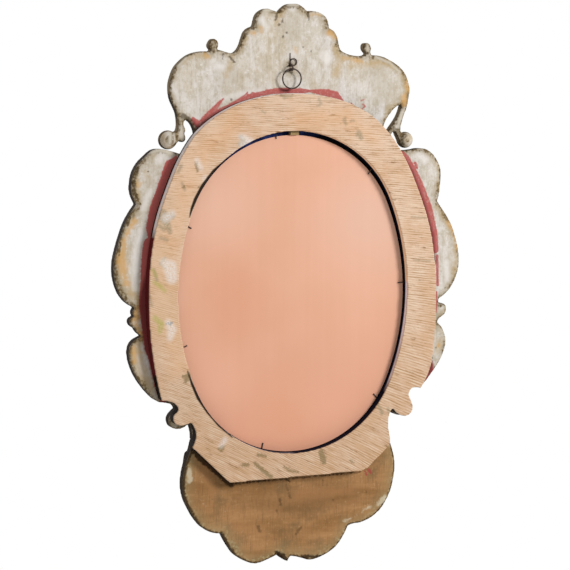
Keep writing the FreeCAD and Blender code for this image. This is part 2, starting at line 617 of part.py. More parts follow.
def on_front(shape, level):
    """What of a shape stands proud of the board's front at depth level."""
    half_space = Part.makeBox(FAR, FAR, FAR, Vector(-FAR / 2, level - FAR, -FAR / 2))
    return shape.common(half_space)


def upright(point, level):
    """An outline's point, put on the board's front at depth level."""
    return Vector(point.x, level, point.y)


def scroll(label, shares, level, side):
    """A half-round scroll with a ball at its curled end."""
    points = [place(point) for point in shares]
    if side < 0:
        points = [Vector(-point.x, point.y, 0) for point in points]
    radius = size("rail_radius")
    tube = sweep(smooth(points), radius)
    tube.Placement = Placement(Vector(0, level, 0), Rotation(Vector(1, 0, 0), 90))
    butt = Part.makeSphere(radius, upright(points[0], level), Vector(0, -1, 0))
    curl = Part.makeSphere(radius + bead, upright(points[-1], level), Vector(0, -1, 0))
    piece = on_front(tube.fuse([butt, curl]), level)
    add_shape(label, piece)


def petal(length, root_radius, tip_radius):
    """A club-shaped petal from the origin along +X."""
    neck = length - tip_radius
    profile = Part.Wire([
        Part.LineSegment(Vector(0, 0, 0), Vector(0, root_radius, 0)).toShape(),
        Part.LineSegment(Vector(0, root_radius, 0), Vector(neck, tip_radius, 0)).toShape(),
        Part.Arc(Vector(neck, tip_radius, 0),
                 Vector(neck + tip_radius * math.sin(math.pi / 4), tip_radius * math.cos(math.pi / 4), 0),
                 Vector(length, 0, 0)).toShape(),
        Part.LineSegment(Vector(length, 0, 0), Vector(0, 0, 0)).toShape(),
    ])
    return Part.Face(profile).revolve(Vector(0, 0, 0), Vector(1, 0, 0), 360)


def fan(label, root, tips, tip_radius, sink, level, side=1):
    """Petals fanned out round a root: a shell or a leaf."""
    centre = Vector(side * root.x, level + sink, root.y)
    knob = Part.makeSphere(tip_radius, centre, Vector(0, -1, 0))
    piece = on_front(knob, level)
    for tip in tips:
        run = place(tip) - root
        shape = petal(run.Length, size("petal_root") + sink, tip_radius)
        turn = Rotation(Vector(1, 0, 0), Vector(side * run.x, 0, run.y))
        shape.Placement = Placement(centre, turn)
        piece = piece.fuse(on_front(shape, level))
    add_shape(label, piece)


def shell_root(tip_radius):
    """How far a shell's root lies from the oval's centre, to clear the sight frame."""
    knob_show = math.sqrt(tip_radius ** 2 - size("petal_sink") ** 2)
    return size("opening_height") / 2 + size("frame_lap") + size("carving_gap") + knob_show


crest_tip = size("crest_petal_radius")
apron_tip = size("apron_petal_radius")
fan("crest_shell", Vector(0, shell_root(crest_tip), 0), CREST_FAN_shares, crest_tip,
    size("petal_sink"), crest_front)
fan("apron_shell", Vector(0, -shell_root(apron_tip), 0), APRON_FAN_shares, apron_tip,
    size("petal_sink"), board_front)
LEVELS = {"crest_scroll": crest_front, "crest_leaf": crest_front}
for side, side_name in ((1, "right"), (-1, "left")):
    for name, shares in SCROLLS_shares.items():
        scroll("%s_%s" % (side_name, name), shares, LEVELS.get(name, board_front), side)
    for name, (root_shares, tips) in LEAVES_shares.items():
        fan("%s_%s" % (side_name, name), place(root_shares), tips, size("leaf_petal_radius"),
            size("leaf_sink"), LEVELS.get(name, board_front), side)

doc.recompute()
for thing in doc.Objects:
    if "Invalid" in thing.State or "Error" in thing.State:
        raise RuntimeError("%s is %s" % (thing.Label, thing.State))
os.makedirs("parts", exist_ok=True)
for piece in pieces:
    shape = piece.Shape
    if shape.isNull() or not shape.isValid() or not shape.Solids:
        raise RuntimeError("%s has no valid shape" % piece.Label)
    box = shape.BoundBox
    print("%-20s %d solids %9.0f mm3  y %.1f to %.1f" % (piece.Label, len(shape.Solids), shape.Volume,
                                                         box.YMin, box.YMax))
    shape.exportStep("parts/%s.step" % piece.Label)
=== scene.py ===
import math

import bmesh
import bpy
import numpy as np
from mathutils import Matrix, Vector, kdtree, noise


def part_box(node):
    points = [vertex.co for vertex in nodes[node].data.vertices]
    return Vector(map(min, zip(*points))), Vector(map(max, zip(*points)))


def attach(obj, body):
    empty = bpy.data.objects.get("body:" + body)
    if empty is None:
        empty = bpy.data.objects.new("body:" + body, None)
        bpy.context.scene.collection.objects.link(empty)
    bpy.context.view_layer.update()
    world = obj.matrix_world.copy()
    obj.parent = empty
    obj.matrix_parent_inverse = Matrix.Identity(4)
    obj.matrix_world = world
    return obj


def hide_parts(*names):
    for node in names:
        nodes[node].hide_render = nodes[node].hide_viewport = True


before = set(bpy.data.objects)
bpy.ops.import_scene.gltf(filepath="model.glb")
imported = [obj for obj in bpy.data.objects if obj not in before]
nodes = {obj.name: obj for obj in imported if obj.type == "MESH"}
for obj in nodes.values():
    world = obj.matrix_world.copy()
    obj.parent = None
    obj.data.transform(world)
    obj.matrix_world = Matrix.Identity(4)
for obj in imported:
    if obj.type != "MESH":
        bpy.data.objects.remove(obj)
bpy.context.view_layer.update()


# The camera stands about where the photograph was taken: behind the mirror, off to its right side
# and slightly above the middle. Three metres is assumed, and 20 degrees taken to go with it; other
# pairs of the two fit the picture as well. Rise, roll and lens were fitted for this pair.
PHOTO_SIDE = 570
FOCAL_PIXELS = 2158.8
CAMERA_DISTANCE = 3
SENSOR_MM = 36
camera_aim = Vector((0.00863, -0.018, -0.24005))
camera_turn = math.radians(20)
camera_rise = math.radians(5.712)
camera_roll = math.radians(0.31)
camera_eye = camera_aim + CAMERA_DISTANCE * Vector((
    math.sin(camera_turn) * math.cos(camera_rise), math.cos(camera_turn) * math.cos(camera_rise),
    math.sin(camera_rise)))
ahead = (camera_aim - camera_eye).normalized()
level = ahead.cross(Vector((0, 0, 1))).normalized()
upright = level.cross(ahead)
camera_right = level * math.cos(camera_roll) + upright * math.sin(camera_roll)
camera_up = upright * math.cos(camera_roll) - level * math.sin(camera_roll)
camera = bpy.data.objects.new("camera", bpy.data.cameras.new("camera"))
camera.data.sensor_width = SENSOR_MM
camera.data.lens = FOCAL_PIXELS / PHOTO_SIDE * SENSOR_MM
camera.matrix_world = Matrix.Translation(camera_eye) @ Matrix(
    (camera_right, camera_up, -ahead)).transposed().to_4x4()
bpy.context.scene.collection.objects.link(camera)
bpy.context.scene.camera = camera
bpy.context.scene.view_settings.view_transform = "Standard"


def seen_at(column, row, depth):
    """The point that the photograph shows at a pixel, on the upright plane at that depth."""
    ray = ahead + (camera_right * (column - PHOTO_SIDE / 2)
                   - camera_up * (row - PHOTO_SIDE / 2)) / FOCAL_PIXELS
    return camera_eye + ray * ((depth - camera_eye.y) / ray.y)


# The studio: a plain pale floor well under the hanging mirror, a large soft lamp high on the
# photograph's right, a weaker one for the carved front, and even light from all round.
def linear(code):
    """A colour written as an sRGB hex value, as the linear values that a shader works with."""
    parts = [int(code[i:i + 2], 16) / 255 for i in (1, 3, 5)]
    return tuple(c / 12.92 if c <= 0.04045 else ((c + 0.055) / 1.055) ** 2.4 for c in parts) + (1,)


def add_node(tree, kind, inputs, out=0, **settings):
    """Adds a node with its settings, links or sets its inputs, and returns one output."""
    made = tree.nodes.new("ShaderNode" + kind)
    for name, value in settings.items():
        setattr(made, name, value)
    for name, value in inputs.items():
        if isinstance(value, bpy.types.NodeSocket):
            tree.links.new(value, made.inputs[name])
        else:
            made.inputs[name].default_value = value
    return made.outputs[out]


def new_material(name):
    """An empty material with its output node."""
    material = bpy.data.materials.new(name)
    material.use_nodes = True
    material.node_tree.nodes.clear()
    output = material.node_tree.nodes.new("ShaderNodeOutputMaterial")
    return material, material.node_tree, output.inputs["Surface"]


world = bpy.data.worlds.new("studio")
bpy.context.scene.world = world
world.use_nodes = True
air = world.node_tree
air.nodes.clear()
path = add_node(air, "LightPath", {}).node.outputs
shown = add_node(air, "Math", {0: path["Is Camera Ray"], 1: path["Is Glossy Ray"]},
                 operation="MAXIMUM")
shown = add_node(air, "Math", {0: shown, 1: path["Is Transmission Ray"]}, operation="MAXIMUM")
glow = add_node(air, "MapRange", {"Value": shown, "To Min": 0.40, "To Max": 1.0})
sky = add_node(air, "Background", {"Color": (1, 1, 1, 1), "Strength": glow})
air.links.new(sky, air.nodes.new("ShaderNodeOutputWorld").inputs["Surface"])

for name, place, size, power in (("key", (-1.78, 2.35, 0.85), 0.8, 72),
                                 ("front", (1.7, -2.5, 0.9), 1.5, 66)):
    lamp = bpy.data.lights.new(name, "AREA")
    lamp.size = size
    lamp.energy = power
    holder = bpy.data.objects.new(name, lamp)
    facing = (camera_aim - Vector(place)).to_track_quat("-Z", "Y")
    holder.matrix_world = Matrix.Translation(place) @ facing.to_matrix().to_4x4()
    bpy.context.scene.collection.objects.link(holder)

FLOOR_LEVEL = -1.45
bm = bmesh.new()
bmesh.ops.create_circle(bm, cap_ends=True, segments=96, radius=2.1,
                        matrix=Matrix.Translation((0, 0, FLOOR_LEVEL)))
floor_mesh = bpy.data.meshes.new("floor")
bm.to_mesh(floor_mesh)
bm.free()
floor = bpy.data.objects.new("floor", floor_mesh)
bpy.context.scene.collection.objects.link(floor)
floor_paint, tree, surface = new_material("matt_floor_paint")
seen = add_node(tree, "LightPath", {}, "Is Camera Ray")
pale = add_node(tree, "BsdfDiffuse", {"Color": linear("#EDECEA")})
lift = add_node(tree, "Emission", {"Color": (1, 1, 1, 1), "Strength": 0.16})
lift = add_node(tree, "AddShader", {0: pale, 1: lift})
tree.links.new(add_node(tree, "MixShader", {0: seen, 1: pale, 2: lift}), surface)
floor_mesh.materials.append(floor_paint)


# The four boards are sawn from lime planks, glued edge to edge round the opening. Their backs
# carry a thin grey-white size, streaked by the brush, rubbed to raw wood at the rounded margins;
# fronts are painted blue-black and walls near-black brown, a colour that is partly painted shade,
# and red bole has run over where the ring was glued.
BACK_MM = -18
BACK = BACK_MM / 1000
CREST_FRONT_MM = -32
PIXEL_MM = 1.4
SAME_POINT = 1e-5
SAME_LEVEL = 2e-4


def merged(name):
    """A CAD node's mesh for editing, its doubled points made one."""
    bm = bmesh.new()
    bm.from_mesh(nodes[name].data)
    bmesh.ops.remove_doubles(bm, verts=bm.verts, dist=SAME_POINT)
    return bm


def remeshed(name, grain, passes):
    """A copy of a CAD node's mesh, merged, laid anew in even faces and eased across the board."""
    mesh = nodes[name].data.copy()
    bm = merged(name)
    bmesh.ops.recalc_face_normals(bm, faces=bm.faces)
    bm.to_mesh(mesh)
    bm.free()
    piece = bpy.data.objects.new(name + "_worked", mesh)
    bpy.context.scene.collection.objects.link(piece)
    even = piece.modifiers.new("even", "REMESH")
    even.mode = "VOXEL"
    even.voxel_size = grain
    even.use_smooth_shade = True
    mesh = bpy.data.meshes.new_from_object(
        piece.evaluated_get(bpy.context.evaluated_depsgraph_get()))
    piece.modifiers.clear()
    piece.data = mesh
    mesh.materials.clear()
    bm = bmesh.new()
    bm.from_mesh(mesh)
    for _ in range(passes):
        bmesh.ops.smooth_vert(bm, verts=bm.verts, factor=0.5, use_axis_x=True, use_axis_y=False,
                              use_axis_z=True)
    bm.to_mesh(mesh)
    bm.free()
    return piece


def points_of(mesh):
    """The mesh's points in millimetres, one row each."""
    flat = np.zeros(len(mesh.vertices) * 3, np.float32)
    mesh.vertices.foreach_get("co", flat)
    return flat.reshape(-1, 3).astype(float) * 1000


def keep_points(mesh, name, points):
    """Sets the mesh's points, in millimetres, held inside the CAD node's own box."""
    low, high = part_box(name)
    held = np.clip(points / 1000, np.array(low), np.array(high))
    mesh.vertices.foreach_set("co", held.astype(np.float32).ravel())
    mesh.update()


def keep_values(mesh, name, values):
    """Stores a number for each point of the mesh, for its material to read."""
    layer = mesh.attributes.new(name, "FLOAT", "POINT")
    layer.data.foreach_set("value", np.asarray(values, np.float32))


def edge_at(name, depth):
    """Points a millimetre apart along the outline of a piece's flat face at that depth."""
    bm = merged(name)
    flat = {face: all(abs(corner.co.y - depth) < SAME_LEVEL for corner in face.verts)
            for face in bm.faces}
    found = []
    for edge in bm.edges:
        if len(edge.link_faces) == 2 and flat[edge.link_faces[0]] != flat[edge.link_faces[1]]:
            steps = max(1, int(edge.calc_length() * 1000))
            start, end = (corner.co for corner in edge.verts)
            found += [tuple(start.lerp(end, i / steps) * 1000) for i in range(steps)]
    bm.free()
    return found


def nearest(points, places):
    """How far each point is from the nearest of some places, across the board."""
    tree = kdtree.KDTree(len(places))
    for i, place in enumerate(places):
        tree.insert((place[0], 0, place[2]), i)
    tree.balance()
    return np.array([tree.find((x, 0, z))[2] for x, _, z in points])


def strokes(points, depth, marks):
    """How deep each point lies in the given marks, in mm: above 0 inside one. A mark is a run of
    (column, row, half width) in the photograph's pixels."""
    inside = np.full(len(points), -30.0)
    flat = points[:, (0, 2)]
    for mark in marks:
        run = []
        for column, row, half in mark:
            place = seen_at(column, row, depth)
            run.append((place.x * 1000, place.z * 1000, half * PIXEL_MM))
        run = np.array(run + run[-1:])
        for start, end in zip(run, run[1:]):
            way = end[:2] - start[:2]
            along = np.clip((flat - start[:2]) @ way / max(way @ way, 1e-6), 0, 1)
            gap = np.linalg.norm(flat - start[:2] - along[:, None] * way, axis=1)
            inside = np.maximum(inside, start[2] + along * (end[2] - start[2]) - gap)
    return inside


def rough(points, pitch, seed):
    """Smooth seeded unevenness from -1 to 1 over the points, with bumps about pitch mm apart."""
    shift = Vector((seed, 2 * seed, 3 * seed))
    return np.array([noise.noise(Vector(point) / pitch + shift) for point in points])


# The marks on each back. Shade, tan and pale are tones of the size; bole is the red where it has
# flaked, red where it is whole, and deep the nearly black red along the ring's edge, which is
# partly painted shadow of the ring and on the apron painted shadow only; bare is raw wood, cream a
# pale worn edge that is also a painted highlight along upper edges, dark dents and dirt, and olive
# the paler stretches of the walls.
boards = {
    "crest_panel": {
        "shade": [[(378, 74, 12), (384, 92, 12)], [(232, 76, 12), (226, 84, 10)],
                  [(290, 24, 12), (291, 38, 8)]],
        "olive": [[(170, 62, 30), (205, 40, 30), (285, 10, 50), (365, 50, 30), (400, 80, 30),
                   (404, 140, 20)], [(186, 112, 5), (182, 130, 7), (168, 138, 9)]],
        # Cream runs along upper edges: pale worn edges with painted highlights.
        "cream_and_highlight": [[(264, 10, 1.2), (272, 10, 1)], [(288, 4.4, 1.2), (298, 5, 1)],
                  [(318, 12, 1.2), (325, 15, 1)], [(376, 57, 1), (390, 63, 1.2), (400, 72, 1)],
                  [(186, 58, 1), (178, 66, 1)], [(169.5, 133, 1.6), (168.5, 143, 1.4)],
                  [(174, 134, 0.8), (174, 141, 0.6)], [(401.5, 112, 1.2), (398.5, 127, 1)],
                  [(181.5, 126, 0.8), (182, 136, 0.8)]],
        "bole": [[(193, 119, 2), (197, 123, 3), (200, 130, 1.5)],
                 [(202, 125, 5), (208, 117, 4.4), (214, 109.5, 2.8), (219, 103, 1.8),
                  (223.5, 98.5, 0.8)],
                 [(205, 122, 4), (212, 115.5, 4), (219, 111.5, 2.6), (226, 108, 2.4),
                  (233, 104.5, 2.4), (240, 100.6, 2.6), (246, 97.4, 3), (255, 95.2, 2.4),
                  (262, 93.6, 2.4), (268, 92, 2.6), (275, 91, 2.8), (286, 91, 3.1), (301, 91, 2.8),
                  (308, 91, 1.6), (313, 91, 1.2)], [(243, 98, 1.4), (247.5, 92.5, 0.8)],
                 [(252, 93, 1), (256, 93.5, 0.8)],
                 [(311, 91, 1.4), (320, 92, 3), (328, 93, 3.8), (336, 95, 3.6), (340, 98, 2),
                  (343.5, 101.5, 0.6)], [(351, 103, 0.8), (354, 106, 0.7)],
                 [(355.5, 107.5, 0.6), (358.5, 109, 0.6)], [(361, 100.6, 0.6), (364.6, 99.4, 0.4)],
                 [(362, 103.6, 0.5), (365.4, 106.2, 0.7), (362, 109, 0.4)]],
        "deep": [[(193, 122, 1.5), (198, 130, 2)], [(205, 125, 2), (214, 118, 1)],
                 [(281, 90, 1.6), (288, 90.5, 2.2)]],
        "bare": [[(252, 33, 1.6), (255, 34, 2)], [(261, 28, 1.2), (261, 32, 1.3)],
                 [(330, 33, 2), (334, 37, 1.8)], [(295, 49, 1.5), (296, 52, 1.3)],
                 [(345, 57.5, 1.2), (353, 60, 1.7), (362, 61.5, 1.4)],
                 [(408, 83, 0.9), (407.5, 90, 0.9)], [(404.5, 96, 1.2), (403, 105, 1.8)],
                 [(205, 54, 1.6), (208, 57, 1.2)], [(312, 14, 1.2), (320, 14, 1.2)]],
        "tan": [[(232, 56, 2), (230, 66, 3), (227, 77, 2)], [(237, 50, 2), (245, 38, 3)],
                [(336, 48, 2), (341, 60, 3), (336, 73, 4)], [(384, 61, 3), (393, 65, 3)],
                [(402, 71, 1.6), (406, 81, 1.6), (407, 92, 1.4)], [(385, 62, 2), (350, 66, 1.6)],
                [(396, 105, 1.2), (388, 113, 1.6), (384.5, 121, 1.6), (383, 129, 1.2)],
                [(280, 12, 4), (277, 22, 3)], [(172, 108, 1.5), (176, 118, 1.5)],
                [(182, 62, 2), (195, 55, 2), (205, 55, 2)], [(405, 141, 2), (410, 137, 2)],
                [(412, 143, 2), (413, 138, 1.5)], [(163, 135, 2), (164, 143, 2), (170, 147, 2)],
                [(176, 132, 1.4), (176, 141, 1.4)]],
        "dark": [[(280, 9, 0.9), (277, 14, 0.9), (275.5, 20, 0.6)], [(279, 24, 1.3)],
                 [(283, 19, 0.8), (282, 22, 0.6)], [(283, 36.5, 1)], [(286.5, 32.5, 0.8)],
                 [(231, 99.5, 0.9)], [(223, 54, 0.8), (222.7, 58, 0.6)],
                 [(230, 57, 0.8), (234, 62, 0.8)], [(303, 47, 0.4)], [(311, 51.5, 0.5)],
                 [(240, 42, 1.2), (237.5, 48, 1.2)], [(247, 34, 0.9), (244, 38, 0.9)],
                 [(308, 13, 1.1), (309, 19, 0.8)], [(255, 15, 1.4), (253, 22, 1.6)],
                 [(251, 29, 0.8), (254, 29, 0.8)], [(376, 121, 0.5)],
                 [(183, 116, 2.5), (190, 120, 2)], [(209, 42, 1), (209, 48, 1)], [(364, 46, 2)]],
        "pale": [[(262, 20, 4), (267, 27, 3)], [(325, 56, 4), (327, 60, 3)],
                 [(171, 84, 3), (177, 94, 3)], [(218, 66, 3), (224, 67, 2)],
                 [(222, 99, 2), (240, 94, 3), (262, 91, 2)],
                 [(352, 112, 2.5), (372, 120, 3), (380, 124, 2)], [(292, 8, 3)],
                 [(168, 133, 1.4), (168, 144, 1.2)], [(172, 135, 1.2), (173, 142, 1)],
                 [(180, 128, 0.8), (180.5, 137, 0.8)], [(398, 117, 1.4), (396, 128, 1.2)]],
    },
    "right_side_panel": {
        "red": [[(175.5, 157.5, 1.6), (169.8, 165, 5), (165, 181, 5.5), (160.6, 194, 5.5),
                 (157.4, 201, 5.5), (154.9, 209, 5.5), (151.2, 228, 5.2), (153.4, 236, 5.5)],
                [(150.9, 245, 8), (149.4, 259, 8), (148.7, 274, 8), (148, 288, 8), (146.8, 303, 8),
                 (148.7, 319, 8), (150.4, 332, 8), (152.3, 347, 8), (155.5, 357, 7.4),
                 (157.4, 371, 6), (159.3, 385, 5), (162, 396, 4), (164, 402, 2)]],
        "shade": [[(150, 172, 6), (147, 190, 8), (143, 206, 8)]],
        # Deep here is the darkest red under the ring's edge, with the ring's shadow painted into
        # it.
        "deep": [[(180, 176, 4), (178.4, 185, 8), (172.3, 197, 8), (166.8, 211, 8),
                  (161.8, 231, 8), (157.4, 245, 8), (155.6, 259, 8), (153.4, 276, 8),
                  (149, 292, 8.4), (147, 303, 8.4), (148.6, 319, 8.4), (150.2, 332, 8.4),
                  (152.2, 347, 8.4), (155.4, 357, 7.8), (157.4, 371, 6.4), (159.3, 385, 5.4),
                  (162, 396, 4.4), (164, 402, 2.4)]],
        "bare": [[(134, 222, 1.6), (129, 230, 2.6), (124, 242, 2.6), (121.5, 256, 2.4),
                  (123, 270, 2.4), (127, 283, 2)], [(142, 183, 1.5), (139, 186, 1.5)],
                 [(139.4, 303, 1), (139.6, 314, 1.1), (138.4, 322, 1.3), (139.6, 331, 1),
                  (141, 338, 0.8)], [(137, 309, 2), (135, 318, 3), (137.5, 328, 2)],
                 [(141, 352, 1.4), (145, 353.5, 1.6)], [(134, 348, 2), (135, 362, 2)]],
        "tan": [[(136, 175, 2.5), (136, 195, 2.5)], [(146, 172, 1.6), (147, 176, 1.6)],
                [(130, 214, 2.5), (123, 230, 2)], [(132, 292, 3), (140, 302, 2)],
                [(137, 344, 5), (138, 360, 7), (144, 376, 6), (152, 390, 4)]],
        # Cream here is a painted highlight along the board's top edge as well as a worn edge.
        "cream_and_highlight": [[(140, 158, 1.6), (149, 151.5, 2.4), (160, 149, 2.6), (172, 153, 2)],
                  [(136, 205, 1.4), (129, 212, 1)]],
        "dark": [[(138, 168, 1.3), (134, 182, 1.2), (136, 198, 1.3)], [(148, 171, 0.5)],
                 [(131, 216, 0.9), (127, 226, 0.9)], [(121, 243, 0.6), (119, 255, 0.6)]],
        "pale": [[(163, 152, 3), (160, 160, 3)], [(150, 190, 2), (143, 208, 2)],
                 [(141, 232, 2), (137, 250, 3), (135, 272, 3), (136, 288, 2)],
                 [(137, 356, 0.9), (142, 373, 1)]],
    },
    "left_side_panel": {
        "shade": [[(452, 250, 4), (451, 276, 6), (446, 292, 4)]],
        "bole": [[(402, 152, 1.5), (406, 158, 3.4), (412, 170, 4.8), (420, 188, 5),
                  (427.5, 208, 5), (433, 232, 4.8), (435.4, 250, 3.6)],
                 [(437, 256, 1.6), (437.6, 285, 1.5)], [(415, 163, 1.6), (417, 168, 1.4)],
                 [(436.5, 292, 1), (436, 312, 0.8)],
                 [(431, 360, 1), (431, 370, 3), (425, 378, 3)]],
        "deep": [[(404, 158, 1), (412, 172, 1.6), (424, 205, 2), (432, 235, 2.2), (435, 262, 1.6)],
                 [(432, 362, 1), (430, 371, 4), (424, 379, 4)]],
        "bare": [[(448, 223, 1.2), (453.5, 231, 1.6), (456, 240, 1.8), (457, 248, 1)],
                 [(438.5, 346, 1.6)]],
        "tan": [[(437, 160, 1.6), (441, 176, 2), (440, 190, 1.6)],
                [(440, 340, 2), (437, 353, 1.6)], [(456, 250, 2), (455, 275, 1.6)],
                [(437, 205, 1.6), (446, 218, 1.6)]],
        "dark": [[(440, 168, 0.6), (441, 180, 0.6)], [(436, 347, 0.7)], [(436, 204, 0.8)],
                 [(445, 288, 0.6)], [(432, 358, 0.7)]],
        "pale": [[(418, 155, 3), (426, 160, 3)], [(442, 307, 2.5)],
                 [(446, 262, 3), (447, 280, 2)]],
    },
    "apron_panel": {
        "shade": [[(240, 500, 8), (290, 504, 13), (345, 494, 12)]],
        "bole": [[(365, 471.5, 1.3), (367, 475, 0.8)], [(369, 470, 1.6), (371, 473, 1)]],
        # On the apron deep is painted shadow: along the ring's cut edge and foot, and under the
        # tip.
        "deep": [[(193, 449, 3), (200, 457, 3.6), (231, 485, 2.6)],
                 [(231, 483.5, 1.1), (290, 478.6, 0.5)], [(290, 478.6, 0.5), (360, 472, 0.4)],
                 [(287, 479, 1.3), (289.5, 481.5, 1)],
                 [(277, 552, 2), (283, 556, 2.6), (286.5, 560, 2.2)],
                 [(302, 557, 2), (322, 556, 1.6)]],
        "tan": [[(205, 470, 6), (212, 490, 5)], [(300, 495, 5), (350, 490, 4)],
                [(235, 525, 4), (260, 530, 5)]],
        "dark": [[(212, 500, 0.8)], [(366, 492, 0.8)], [(280, 499, 1), (281, 505, 0.8)],
                 [(277, 511, 0.7)], [(258, 527, 1.6), (260, 531, 1.2)],
                 [(301, 527, 0.8), (296, 534, 0.6)], [(286, 485, 0.5), (290, 498, 0.5)],
                 [(333, 500, 0.8)], [(323, 480, 0.6), (323, 486, 0.5)]],
        "pale": [[(345, 521, 1.6), (356, 516, 2.4)], [(362, 512, 1.5), (368, 507, 2)],
                 [(189, 470, 1), (190, 480, 1.2)], [(200, 500, 1.6), (206, 506, 1.4)],
                 [(378, 505, 1), (386, 496, 1)]],
    },
}
# Where two boards' outlines lie nearer than the glued gap they are joined, and the rest of an
# outline is a free margin, rounded and worn. What stands proud of the back is toned like one.
GLUED_GAP = 1.3
PROUD, PROUD_MARGIN = 4, 2.5
edges = {name: edge_at(name, BACK) for name in boards}
for name, board in boards.items():
    piece = remeshed(name, grain=0.0012, passes=2)
    points = points_of(piece.data)
    others = [place for other in boards if other != name for place in edges[other]]
    apart = nearest(np.array(edges[name]), others)
    free_edge = [place for place, gap in zip(edges[name], apart) if gap > GLUED_GAP]
    margin = nearest(points, free_edge)
    front = CREST_FRONT_MM if name == "crest_panel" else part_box(name)[0].y * 1000
    height = np.clip((points[:, 1] - front) / (BACK_MM - front), 0, 1)
    wear = 4.2 + 2.2 * rough(points, pitch=22, seed=1.7)
    drop = 1.3 + 0.9 * rough(points, pitch=17, seed=4.1)
    drop *= np.clip(1 - margin / wear, 0, 1) ** 1.6
    points[:, 1] -= np.where(points[:, 1] > front - 0.5, height * drop, 0)
    keep_points(piece.data, name, points)
    margin[(height > 0.9) & (np.abs(points[:, 1] - BACK_MM) > PROUD)] = PROUD_MARGIN
    keep_values(piece.data, "margin", margin)
    keep_values(piece.data, "height", height)
    for kind in ("shade", "bole", "red", "deep", "bare", "tan", "dark", "pale", "olive", "cream_and_highlight"):
        keep_values(piece.data, kind, strokes(points, BACK, board.get(kind, [])))
    board["piece"] = piece
    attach(piece, "frame")
    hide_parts(name)


def add_tones(tree, colour, tones):
    """Mixes tones into a colour, each more strongly as its value goes from start to end."""
    for value, start, end, strength, tone in tones:
        mask = add_node(tree, "MapRange", {"Value": value, "From Min": start, "From Max": end,
                                           "To Max": strength})
        colour = add_node(tree, "Mix", {0: mask, 6: colour, 7: linear(tone)}, 2, data_type="RGBA")
    return colour


def add_layers(tree, colour, layers):
    """Lays tones over a colour, each where its own stored value, made ragged, is above 0."""
    for source, shift, ragged, soft, strength, tone in layers:
        value = add_node(tree, "Attribute", {}, "Fac", attribute_name=source)
        way = "SUBTRACT" if source == "margin" else "ADD"
        value = add_node(tree, "Math", {0: shift, 1: value}, operation=way)
        value = add_node(tree, "Math", {0: value, 1: ragged}, operation="ADD")
        colour = add_tones(tree, colour, ((value, -soft, soft, strength, tone),))
    return colour


def add_streaks(tree, place, scale, detail, roughness, shift=(0, 0, 0)):
    """Noise with its own scale along each axis, so that it runs in streaks."""
    drawn = add_node(tree, "Mapping", {"Vector": place, "Location": shift, "Scale": scale})
    return add_node(tree, "TexNoise", {"Vector": drawn, "Scale": 1, "Detail": detail,
                                       "Roughness": roughness})


def add_rags(tree, fine, broad, narrow, wide):
    """Two offsets in mm that make edges ragged: from the fine noise alone, and with the broad."""
    ragged, torn = (add_node(tree, "MapRange", {"Value": value, "From Min": 0.2, "From Max": 0.8,
                                                "To Min": -reach, "To Max": reach})
                    for value, reach in ((fine, narrow), (broad, wide)))
    return ragged, add_node(tree, "Math", {0: torn, 1: ragged}, operation="ADD")


def close_board(tree, surface, colour, fine, broad, streaks, matt):
    """Covers a board's walls with near-black paint, partly painted shade, and its front with
    blue-black, gilds the front's edge, and closes the material with the relief of its streaks."""
    height, margin = (add_node(tree, "Attribute", {}, "Fac", attribute_name=name)
                      for name in ("height", "margin"))
    wall = add_node(tree, "Math", {0: fine, 1: 0.10}, operation="MULTIPLY")
    wall = add_node(tree, "Math", {0: height, 1: wall}, operation="SUBTRACT")
    wall = add_node(tree, "MapRange", {"Value": wall, "From Min": 0.84, "From Max": 0.80})
    facing = add_node(tree, "MapRange", {"Value": height, "From Min": 0.01, "From Max": 0.05})
    # The walls' near-black brown is partly painted shade; olive gives their paler stretches.
    wood = add_layers(tree, linear("#1A1009"), (("olive", 0.0, 0.0, 3.0, 0.85, "#75644A"),))
    paint = add_node(tree, "Mix", {0: facing, 6: linear("#20284C"), 7: wood}, 2, data_type="RGBA")
    paint = add_tones(tree, paint, ((broad, 0.45, 0.65, 0.35, "#3A2A18"),))
    rim = add_node(tree, "Math", {0: broad, 1: 6.0}, operation="MULTIPLY")
    rim = add_node(tree, "Math", {0: margin, 1: rim}, operation="ADD")
    front = add_node(tree, "MapRange", {"Value": height, "From Min": 0.06, "From Max": 0.02})
    rim = add_node(tree, "MapRange", {"Value": rim, "From Min": 8.0, "From Max": 7.0,
                                      "To Max": front})
    whole = add_node(tree, "MapRange", {"Value": fine, "From Min": 0.62, "From Max": 0.58})
    leaf = add_node(tree, "Mix", {0: whole, 6: linear("#7A3A28"), 7: linear("#C9963F")}, 2,
                    data_type="RGBA")
    paint = add_node(tree, "Mix", {0: rim, 6: paint, 7: leaf}, 2, data_type="RGBA")
    paint = add_tones(tree, paint, ((fine, 0.63, 0.68, 0.5, "#8E6B34"),))
    gilt = add_node(tree, "Math", {0: rim, 1: whole}, operation="MULTIPLY")
    colour = add_node(tree, "Mix", {0: wall, 6: colour, 7: paint}, 2, data_type="RGBA")
    relief = add_node(tree, "Math", {0: streaks, 1: fine}, operation="ADD")
    bump = add_node(tree, "Bump", {"Height": relief, "Strength": 0.45, "Distance": 0.0007})
    rough_gilt = add_node(tree, "MapRange", {"Value": gilt, "To Min": matt, "To Max": 0.38})
    shader = add_node(tree, "BsdfPrincipled", {"Base Color": colour, "Roughness": rough_gilt,
                                               "Metallic": gilt, "Specular IOR Level": 0.05,
                                               "Normal": bump})
    tree.links.new(shader, surface)


